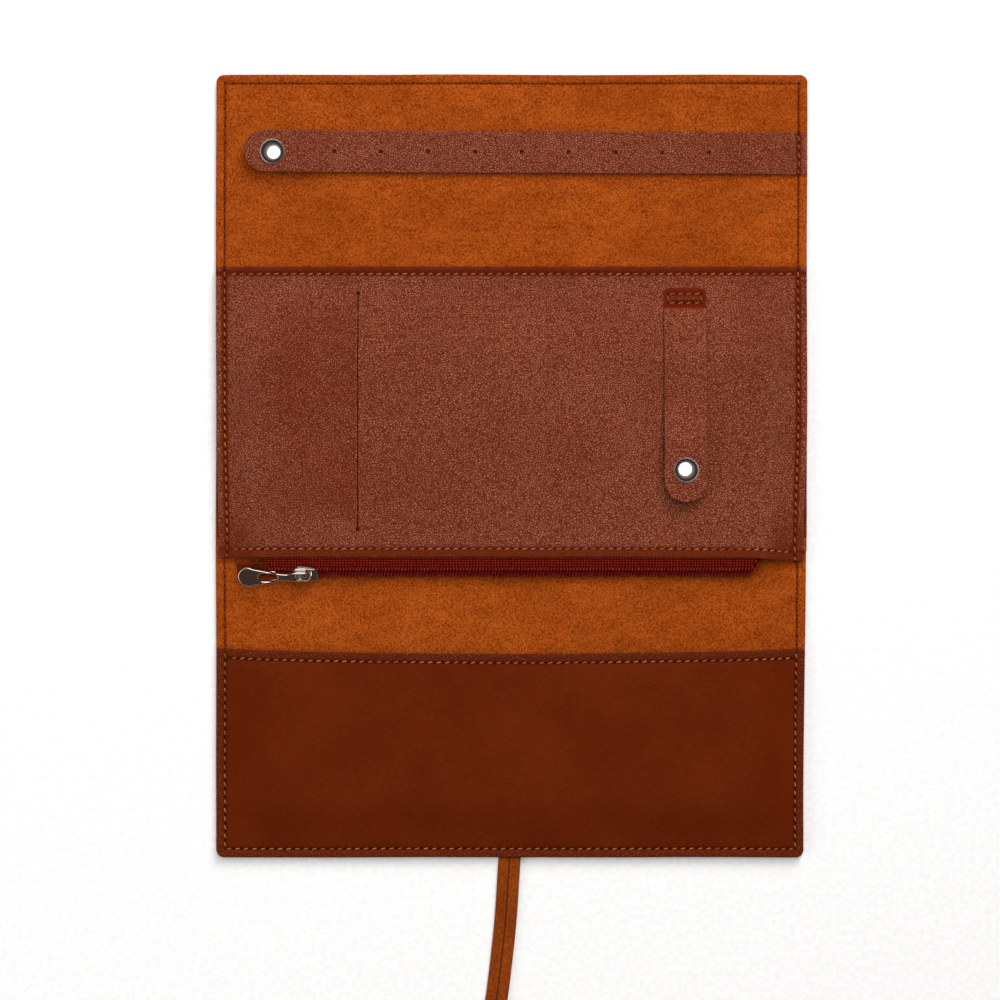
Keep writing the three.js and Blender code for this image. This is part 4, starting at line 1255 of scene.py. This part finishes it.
def make_snap(prefix, strap_body, panel_body):
    cap_low, cap_high = span(prefix + "_snap_cap")
    socket_low, socket_high = span(prefix + "_snap_socket")
    stud_low, stud_high = span(prefix + "_snap_stud")
    eyelet_low, eyelet_high = span(prefix + "_snap_eyelet")
    centre = Vector(((cap_low.x + cap_high.x) / 2, (cap_low.y + cap_high.y) / 2, 0))
    reach = (cap_high.x - cap_low.x) / 2
    rim = cap_high.z - SNAP_RIM

    cap = [(0, cap_low.z), (0.9, cap_low.z), (0.9, rim), (reach - 0.5, rim), (reach - 0.12, rim + 0.1)]
    cap += [(reach, rim + 0.32), (reach - 0.06, rim + 0.52), (reach - 0.22, rim + 0.64)]
    dome = reach - 0.3
    base = rim + 0.7
    steps = 16
    for k in range(steps):
        a = math.pi / 2 * k / steps
        cap.append((dome * math.cos(a), base + (cap_high.z - base) * math.sin(a)))
    cap.append((0, cap_high.z))

    radius = (socket_high.x - socket_low.x) / 2
    low, high = socket_low.z, socket_high.z
    socket = [(1.05, high), (radius - 0.2, high), (radius, high - 0.2), (radius, low + 0.5)]
    socket += [(radius - 0.15, low + 0.2), (radius - 0.6, low + 0.1), (radius - 1.0, low + 0.28)]
    socket += [(2.5, low + 0.28), (2.3, low + 0.05), (2.05, low), (1.9, low + 0.12), (1.9, low + 1.0)]
    socket += [(1.05, low + 1.0), (1.05, high)]

    flange = (stud_high.x - stud_low.x) / 2
    low, high = stud_low.z, stud_high.z
    stud = [(0.85, low), (flange - 0.15, low), (flange, low + 0.15), (flange - 0.1, low + 0.35)]
    stud += [(flange - 0.5, low + 0.5), (flange - 1.2, low + 0.42), (1.7, low + 0.5), (1.4, low + 0.65)]
    stud += [(1.55, low + 0.9), (1.6, low + 1.05), (1.5, low + 1.3)]
    stud += [(1.2, high), (0.85, high), (0.85, low)]

    washer = (eyelet_high.x - eyelet_low.x) / 2
    low, high = eyelet_low.z, eyelet_high.z
    eyelet = [(0, low), (washer - 0.1, low), (washer, low + 0.12), (washer - 0.1, low + 0.35)]
    eyelet += [(0.7, low + 0.35), (0.7, high - 0.15), (0.5, high), (0, high)]

    for name, profile, body in (
        ("cap", cap, strap_body),
        ("socket", socket, strap_body),
        ("stud", stud, panel_body),
        ("eyelet", eyelet, panel_body),
    ):
        piece = turned(prefix + "_" + name, profile, centre, NICKEL, 56)
        fit(piece, body, "nickel", prefix + "_snap_" + name)


make_snap("earring", "earring_strap", "upper_section")
make_snap("keeper", "keeper_strap", "middle_section")

# ---- zip

PULL_PIVOT = pivot("zip_pull_swing")
ZIP_DOWN = Vector(joint("zip_pull_swing")["axis"]).normalized()
ZIP_OUT = ZIP_DOWN.cross(Vector((1, 0, 0)))
ZIP_LEFT = span("zip_tape_upper")[0].x
ZIP_RIGHT = span("zip_tape_upper")[1].x
CHAIN = 6.5  # chain's middle, down the tape from the pouch's edge
PULL_HEIGHT = 3.65  # pull's pivot above the tape
TAPE_THICK = 0.5
TAPE_TOP = span("zip_tape_upper")[1].z
TAPE_INSIDE = span("zip_tape_upper")[1].y
TAPE_FLOOR = span("zip_tape_lower")[0].z
CHAIN_STRAIGHT = 90.3  # the slider runs this far along X
TOOTH_PITCH = 1.25
TOOTH_HIGH = 1.4
# half thickness of a coil turn at distances along it
TOOTH_OUTLINE = ((0.0, 0.20), (0.18, 0.42), (0.5, 0.5), (1.1, 0.5), (1.45, 0.42), (1.72, 0.22))


def zip_at(x, down, out):
    """A point on the zip: down its slope from the pouch's edge, and out of its face."""
    spot = PULL_PIVOT + ZIP_DOWN * (down - CHAIN) + ZIP_OUT * (out - PULL_HEIGHT)
    return Vector((x, spot.y, spot.z))


def chain_rise(x):
    """The zip's right end curves up under the pouch."""
    return 9.0 * smooth((x - CHAIN_STRAIGHT) / 7) ** 1.5


def tape_at(x, down, out):
    """A point on the upper tape: above the bend it lies under the pouch's front."""
    mouth = zip_at(x, 0, 0).y
    down -= chain_rise(x)
    inside = max(0.0, -down)
    ceiling = min(TAPE_TOP, pouch_front(x, max(POUCH_MOUTH, mouth + inside)) - PANEL - 0.1)
    if down <= 0:
        return Vector((x, mouth + inside, ceiling + out))
    sag = (TAPE_TOP - ceiling) * (1 - smooth(down / 5))
    spot = zip_at(x, down, out)
    return Vector((x, spot.y, spot.z - sag))


def zip_plate(name, outline, low, high, material):
    """A plate that lies along the zip: an outline of (x, down), from height low to high."""
    return loft(name, [[zip_at(x, d, n) for x, d in outline] for n in (low, high)], material)


def rounded_plate(name, outline, holes, low, high, radius, material):
    """A plate along the zip with rounded edges and holes, all drawn as rings of (x, down)."""
    curve = bpy.data.curves.new("sketch", "CURVE")
    curve.dimensions = "2D"
    curve.fill_mode = "BOTH"
    curve.extrude = (high - low) / 2 - radius
    curve.bevel_depth = radius
    curve.bevel_resolution = 3
    curve.offset = -radius
    for ring in (outline, *holes):
        spline = curve.splines.new("POLY")
        spline.points.add(len(ring) - 1)
        for point, (x, down) in zip(spline.points, ring):
            point.co = (x, down, 0, 1)
        spline.use_cyclic_u = True
    sketch = bpy.data.objects.new("sketch", curve)
    bpy.context.scene.collection.objects.link(sketch)
    bpy.context.view_layer.update()
    solid = bpy.data.meshes.new_from_object(sketch.evaluated_get(bpy.context.evaluated_depsgraph_get()))
    middle = (low + high) / 2
    verts = [zip_at(v.co.x, v.co.y, middle + v.co.z) for v in solid.vertices]
    piece = mesh_object(name, verts, [tuple(face.vertices) for face in solid.polygons], material)
    bpy.data.objects.remove(sketch)
    bpy.data.curves.remove(curve)
    bpy.data.meshes.remove(solid)
    return weigh_normals(piece)


def make_tapes():
    xs = stations(ZIP_LEFT, ZIP_RIGHT, 2.5, [CHAIN_STRAIGHT + 0.7 * k for k in range(9)])
    inside = -(TAPE_INSIDE - zip_at(0, 0, 0).y)
    downs = [inside, inside * 0.6, -1.5, -0.4, 0.15, 0.8, 2.0, 3.2, 4.4, 5.4, CHAIN - 0.5]
    upper, lower = [], []
    for x in xs:
        tops = [tape_at(x, d, 0) for d in downs]
        lows = [tape_at(x, d, -TAPE_THICK) for d in downs]
        upper.append(tops + lows[::-1])
        face = [tape_at(x, d, 0) for d in (CHAIN + 0.5, CHAIN + 1.4, CHAIN + 2.2)]
        rear = [tape_at(x, d, -TAPE_THICK) for d in (CHAIN + 2.0, CHAIN + 1.4, CHAIN + 0.5)]
        edge = tape_at(x, CHAIN + 2.4, -0.25)
        turn = edge.y + 0.75
        end = max(TAPE_INSIDE, turn + 3)
        base = [Vector((x, y, TAPE_FLOOR)) for y in (turn, end)]
        lid = [Vector((x, y, TAPE_FLOOR + TAPE_THICK - 0.05)) for y in (end, turn + TAPE_THICK)]
        lower.append([*face, edge, *base, *lid, *rear])
    for row, rings in (("upper", upper), ("lower", lower)):
        tape = loft(f"zip_tape_{row}_cloth", rings, TAPE)
        fit(tape, "middle_section", "zip_tape", "zip_tape_" + row)


def make_teeth():
    """Two rows of coil turns, each a rounded loop laid across its tape."""
    last = ZIP_RIGHT - 0.6
    middle = 0.08 + TOOTH_HIGH / 2
    sides = 6
    for row, side, start in (("upper", -1, 0.5), ("lower", 1, 0.5 + TOOTH_PITCH / 2)):
        verts, faces = [], []
        x = ZIP_LEFT + start
        # from where the chain rises this far the row is under the pouch's front
        while x < last and CHAIN + 1.3 * side - chain_rise(x) >= 1.0:
            rings = []
            for along, size in TOOTH_OUTLINE:
                down = CHAIN + side * (2.15 - along) - chain_rise(x)
                rings.append(range(len(verts), len(verts) + sides))
                for k in range(sides):
                    a = math.pi * (2 * k + 1) / sides
                    left = x + 0.12 * side * along + 0.9 * size * math.cos(a)
                    verts.append(zip_at(left, down, middle + 1.3 * size * math.sin(a)))
            faces += tube_faces(rings)
            x += TOOTH_PITCH
        teeth = mesh_object("zip_teeth_" + row, verts, faces, NYLON, angle=FINE_ANGLE)
        fit(teeth, "middle_section", "zip_coil", "zip_coil_" + row)


def make_zip_ends():
    low, high = span("zip_stop")
    band = [(4.3, -0.55), (8.7, -0.55), (8.7, -1.35), (4.3, -1.35)]
    rings = [[tape_at(x, down, out) for down, out in band] for x in (low.x, high.x)]
    stop = soften(loft("zip_stop_metal", rings, NICKEL), 0.3)
    fit(stop, "middle_section", "nickel", "zip_stop")
    low, high = span("zip_end_tab")
    for name, left, right, under, top, nodes in (
        ("zip_tab_under", low.x, high.x, -0.5, 0.2, ("zip_end_tab",)),
        ("zip_tab_over", low.x + 0.2, high.x - 3.6, 0.25, 0.85, ()),
    ):
        ring = [(left, 2.6), (right, 2.3), (right, 8.5), (left, 8.2)]
        tab = soften(zip_plate(name, ring, under, top, POCKET), 0.25)
        fit(tab, "middle_section", "pebbled_leather", *nodes)


# half of the slider's outline from its wide nose, at the left, to its narrow tail
SLIDER_HALF = [
    *((-4.7, 1.3), (-4.45, 2.4), (-3.7, 3.3), (-2.4, 3.6)),
    *((0.4, 3.15), (3.6, 2.75), (4.45, 2.3), (4.7, 1.2)),
]
SLIDER_BACK = [(-4.2, -1.6), (-3.4, -2), (3.6, -2), (4.4, -1.4)]
SLIDER_POST = [(-4.0, -0.33), (-1.6, -0.33), (-1.0, 0), (-1.6, 0.33), (-4.0, 0.33)]
CROWN_REACH = 2.2
CROWN_RISE = 2.55
CROWN_FOOT = 2.5
CROWN_SQUARE = 0.6  # below 1 squares the arch and its band


def on_slider(points, sign=1):
    """Points of an outline, measured from the slider's middle."""
    return [(PULL_PIVOT.x + x, CHAIN + sign * down) for x, down in points]


def make_slider():
    outline = on_slider(SLIDER_HALF) + on_slider(reversed(SLIDER_HALF), -1)
    plate = rounded_plate("slider_plate", outline, (), 1.75, 2.65, 0.3, NICKEL)
    fit(plate, "zip_slider", "nickel", "zip_slider")
    curved = SLIDER_HALF[2:-1]
    for name, sign in (("slider_flange_low", 1), ("slider_flange_high", -1)):
        inner = on_slider([(x, down - 0.6) for x, down in curved], sign)
        ring = on_slider(curved, sign) + inner[::-1]
        fit(soften(zip_plate(name, ring, 0.4, 1.9, NICKEL), 0.18), "zip_slider", "nickel")
    back = on_slider(SLIDER_BACK) + on_slider(reversed(SLIDER_BACK), -1)
    fit(soften(zip_plate("slider_back", back, -1.55, -0.8, NICKEL), 0.2), "zip_slider", "nickel")
    post = zip_plate("slider_post", on_slider(SLIDER_POST), -0.9, 1.9, NICKEL)
    fit(post, "zip_slider", "nickel")

    # the crown: a flat band bent into an arch that holds the pull
    sections = []
    steps = 24
    for k in range(steps + 1):
        a = math.pi * k / steps
        arch = Vector((signed_power(-math.cos(a), CROWN_SQUARE), math.sin(a) ** CROWN_SQUARE))
        outward = arch.normalized()
        ring = []
        for b in circle(10):
            across = signed_power(math.cos(b), CROWN_SQUARE) * 0.8
            spot = outward * signed_power(math.sin(b), CROWN_SQUARE) * 0.36
            spot += Vector((arch.x * CROWN_REACH, arch.y * CROWN_RISE))
            ring.append(zip_at(PULL_PIVOT.x + spot.x, CHAIN + across, CROWN_FOOT + spot.y))
        sections.append(ring)
    fit(loft("slider_crown", sections, NICKEL), "zip_slider", "nickel")


PULL_END = 4.6  # radius of its round end
PULL_LENGTH = 25.8
PULL_HEAD = 2.2  # half width at its pivot
PULL_NECK = 1.45
PULL_THICK = 1.3
PULL_SLOT = (-14.3, 1.8, 1.9)  # middle, half the length between its round ends, and their radius


def pull_half_width(u):
    """Half width of the pull at a distance from its pivot."""
    neck = PULL_HEAD - (PULL_HEAD - PULL_NECK) * smooth((u - 4.2) / 3)
    return neck + (PULL_END - PULL_NECK) * smooth((u - 7) / 19) ** 0.9


def make_pull():
    home = PULL_PIVOT.x
    centre = PULL_LENGTH - PULL_END
    half = [(-0.62, 1.7), (-0.45, 2.1)]
    half += [(u, pull_half_width(u)) for u in [0.6 * k for k in range(34)]]
    steps = 13
    for k in range(steps):
        a = math.pi / 2 * k / steps
        half.append((centre + PULL_END * math.sin(a), PULL_END * math.cos(a)))
    outline = [(home - u, CHAIN + w) for u, w in half] + [(home - PULL_LENGTH, CHAIN)]
    outline += [(home - u, CHAIN - w) for u, w in reversed(half)]
    middle, reach, radius = PULL_SLOT
    slot = []
    for a in circle(24):
        x = home + middle + math.copysign(reach, math.cos(a)) + radius * math.cos(a)
        slot.append((x, CHAIN + radius * math.sin(a)))
    eye = on_slider([(-0.65, -1.15), (-3.4, -1.15), (-3.4, 1.15), (-0.65, 1.15)])
    low, high = PULL_HEIGHT - PULL_THICK / 2, PULL_HEIGHT + PULL_THICK / 2
    pull = rounded_plate("pull", outline, (slot, eye), low, high, 0.45, NICKEL)
    fit(pull, "zip_pull", "nickel", "zip_pull")


make_tapes()
make_teeth()
make_zip_ends()
make_slider()
make_pull()

# ---- seams


def stitch_spots(a, b):
    """Middles of evenly spaced stitches from a to b, with the direction they run in."""
    a, b = Vector(a), Vector(b)
    count = max(1, round((b - a).length / STITCH_PITCH))
    ahead = (b - a).normalized()
    return [(a + (b - a) * (i + 0.5) / count, ahead) for i in range(count)]


# A thread from end to end: half its length from the middle, its thickness, and its height.
THREAD_RINGS = ((-1, 0.7, -0.34), (-0.72, 1, -0.02), (0, 1.05, 0.17), (0.72, 1, -0.02), (1, 0.7, -0.34))
THREAD_SIDES = 7
# each needle hole's painted shade is a dark lens with this many sides and this half size
HOLE_SIDES = 9
HOLE_HALF = (0.85, 0.4)  # along the seam and across it


def thread_mesh(spots, surface, side_up):
    """Threads, each at a slant, that dive into the leather at both ends."""
    verts, faces = [], []
    for spot, ahead in spots:
        along = Matrix.Rotation(math.radians(random.uniform(*STITCH_SLANT)), 2) @ ahead
        side = Vector((-along.y, along.x, 0))
        rings = []
        for t, size, lift in THREAD_RINGS:
            flat = spot + along * t * STITCH_LENGTH / 2
            centre = Vector(surface(flat.x, flat.y)) + Vector((0, 0, lift * side_up))
            rings.append(range(len(verts), len(verts) + THREAD_SIDES))
            for a in circle(THREAD_SIDES):
                out = side * math.cos(a) + Vector((0, 0, math.sin(a)))
                verts.append(centre + STITCH_RADIUS * size * out)
        faces += tube_faces(rings)
    return verts, faces


def hole_shade_mesh(spots, surface, side_up):
    """Painted shade of the needle holes between the stitches: a dark lens in the leather at each."""
    verts, faces = [], []
    for spot, ahead in spots:
        pit = spot + ahead * STITCH_PITCH / 2
        side = Vector((-ahead.y, ahead.x))
        first = len(verts)
        for lift in (0.09, -0.25):
            verts.append(Vector(surface(pit.x, pit.y)) + Vector((0, 0, lift * side_up)))
        for a in circle(HOLE_SIDES):
            flat = pit + ahead * HOLE_HALF[0] * math.cos(a) + side * HOLE_HALF[1] * math.sin(a)
            verts.append(Vector(surface(flat.x, flat.y)) - Vector((0, 0, 0.05 * side_up)))
        rim = range(first + 2, first + 2 + HOLE_SIDES)
        for one, two in zip(rim, [*rim[1:], rim[0]]):
            faces += [(first, one, two), (first + 1, two, one)]
    return verts, faces


def sew(name, spots, surface, thread_material, place_on, side_up=1):
    """A seam of threads and the painted shade of its needle holes. surface(x, y) is a point on the
    leather, side_up is -1 for the underside, and place_on puts a piece on its body."""
    for kind, shape, material in (
        ("thread_", thread_mesh, thread_material),
        ("painted_hole_shades_", hole_shade_mesh, HOLE_SHADE),
    ):
        place_on(mesh_object(kind + name, *shape(spots, surface, side_up), material, angle=FINE_ANGLE))


def pouch_surface(x, y):
    return (*pouch_place(x, y), pouch_front(x, y))


def pocket_surface(x, y):
    return (*pocket_place(x, y), pocket_top(x, y))


def case_surface(x, y):
    """The point on whatever lies on top at the case's margin, and whether that's the lining."""
    if y < POCKET_HIGH.y - 0.4:
        return pocket_surface(x, y), False
    if POUCH_MOUTH + 0.6 < y < POUCH_TOP - 0.6:
        return pouch_surface(x, y), False
    px, py = case_place(x, y)
    if x > 100 and abs(y - EARRING_Y) < STRAP_HALF:
        return (px, py, earring_body(x, y)[1]), False
    return (px, py, lining_top(x, y)), True


def shell_surface(x, y):
    """The point on the shell's underside, in the groove where its threads lie."""
    return (*case_place(x, y), shell_under(x, y) - CLEAR)


def edge_spots(zone):
    """The stitches of the seam round the case that lie in a zone of the skins."""
    x = HALF_W - SEAM_INSET
    y = HALF_L - SEAM_INSET
    runs = (((-x, y), (x, y)), ((-x, -y), (x, -y)), ((-x, -y), (-x, y)), ((x, -y), (x, y)))
    spots = [spot for a, b in runs for spot in stitch_spots(a, b)]
    return [spot for spot in spots if zone.low <= spot[0].y < zone.high]


def make_perimeter_seam():
    for zone in SKIN_ZONES:
        for kind, bare, material in (("leather", False, THREAD), ("lining", True, LINING_THREAD)):
            chosen = []
            for spot, ahead in edge_spots(zone):
                hidden = POUCH_MOUTH - 2.6 < spot.y < POUCH_MOUTH + 0.6  # by the pouch's lower corners
                if not hidden and case_surface(*spot)[1] == bare:
                    chosen.append((spot, ahead))
            if chosen:
                sew(
                    f"edge_{zone.name}_{kind}",
                    chosen,
                    lambda x, y: case_surface(x, y)[0],
                    material,
                    lambda piece, zone=zone: bend(piece, zone),
                )


def make_shell_seam():
    for zone in SKIN_ZONES:
        sew(
            "outside_" + zone.name,
            edge_spots(zone),
            shell_surface,
            THREAD,
            lambda piece, zone=zone: bend(piece, zone),
            side_up=-1,
        )


def make_panel_seams():
    x = HALF_W - SEAM_INSET - 2.0
    top = POUCH_TOP - POUCH_TOP_SEAM
    mouth = POUCH_MOUTH + POUCH_MOUTH_SEAM
    pocket = POCKET_HIGH.y - POCKET_MOUTH_SEAM
    centre, reach = KEEPER_BOX_CENTRE, KEEPER_BOX_HALF
    left, right = centre.x - reach.x, centre.x + reach.x
    low, high = centre.y - reach.y, centre.y + reach.y
    box = stitch_spots((left, high), (right, high)) + stitch_spots((right, low), (left, low))
    box += stitch_spots((right, high), (right, low)) + stitch_spots((left, low), (left, high))

    def keeper_surface(px, py):
        return (*keeper_place(px, py), keeper_body(px, py)[1])

    for name, spots, surface, body in (
        ("pouch_top", stitch_spots((-x, top), (x, top)), pouch_surface, "middle_section"),
        ("pouch_mouth", stitch_spots((-x, mouth), (x, mouth)), pouch_surface, "middle_section"),
        ("pocket_mouth", stitch_spots((-x, pocket), (x, pocket)), pocket_surface, "lower_section"),
        ("keeper_box", box, keeper_surface, "middle_section"),
    ):
        sew(name, spots, surface, THREAD, lambda piece, body=body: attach(piece, body))


make_perimeter_seam()
make_shell_seam()
make_panel_seams()

[point * MM for point, across, out in tie_line]
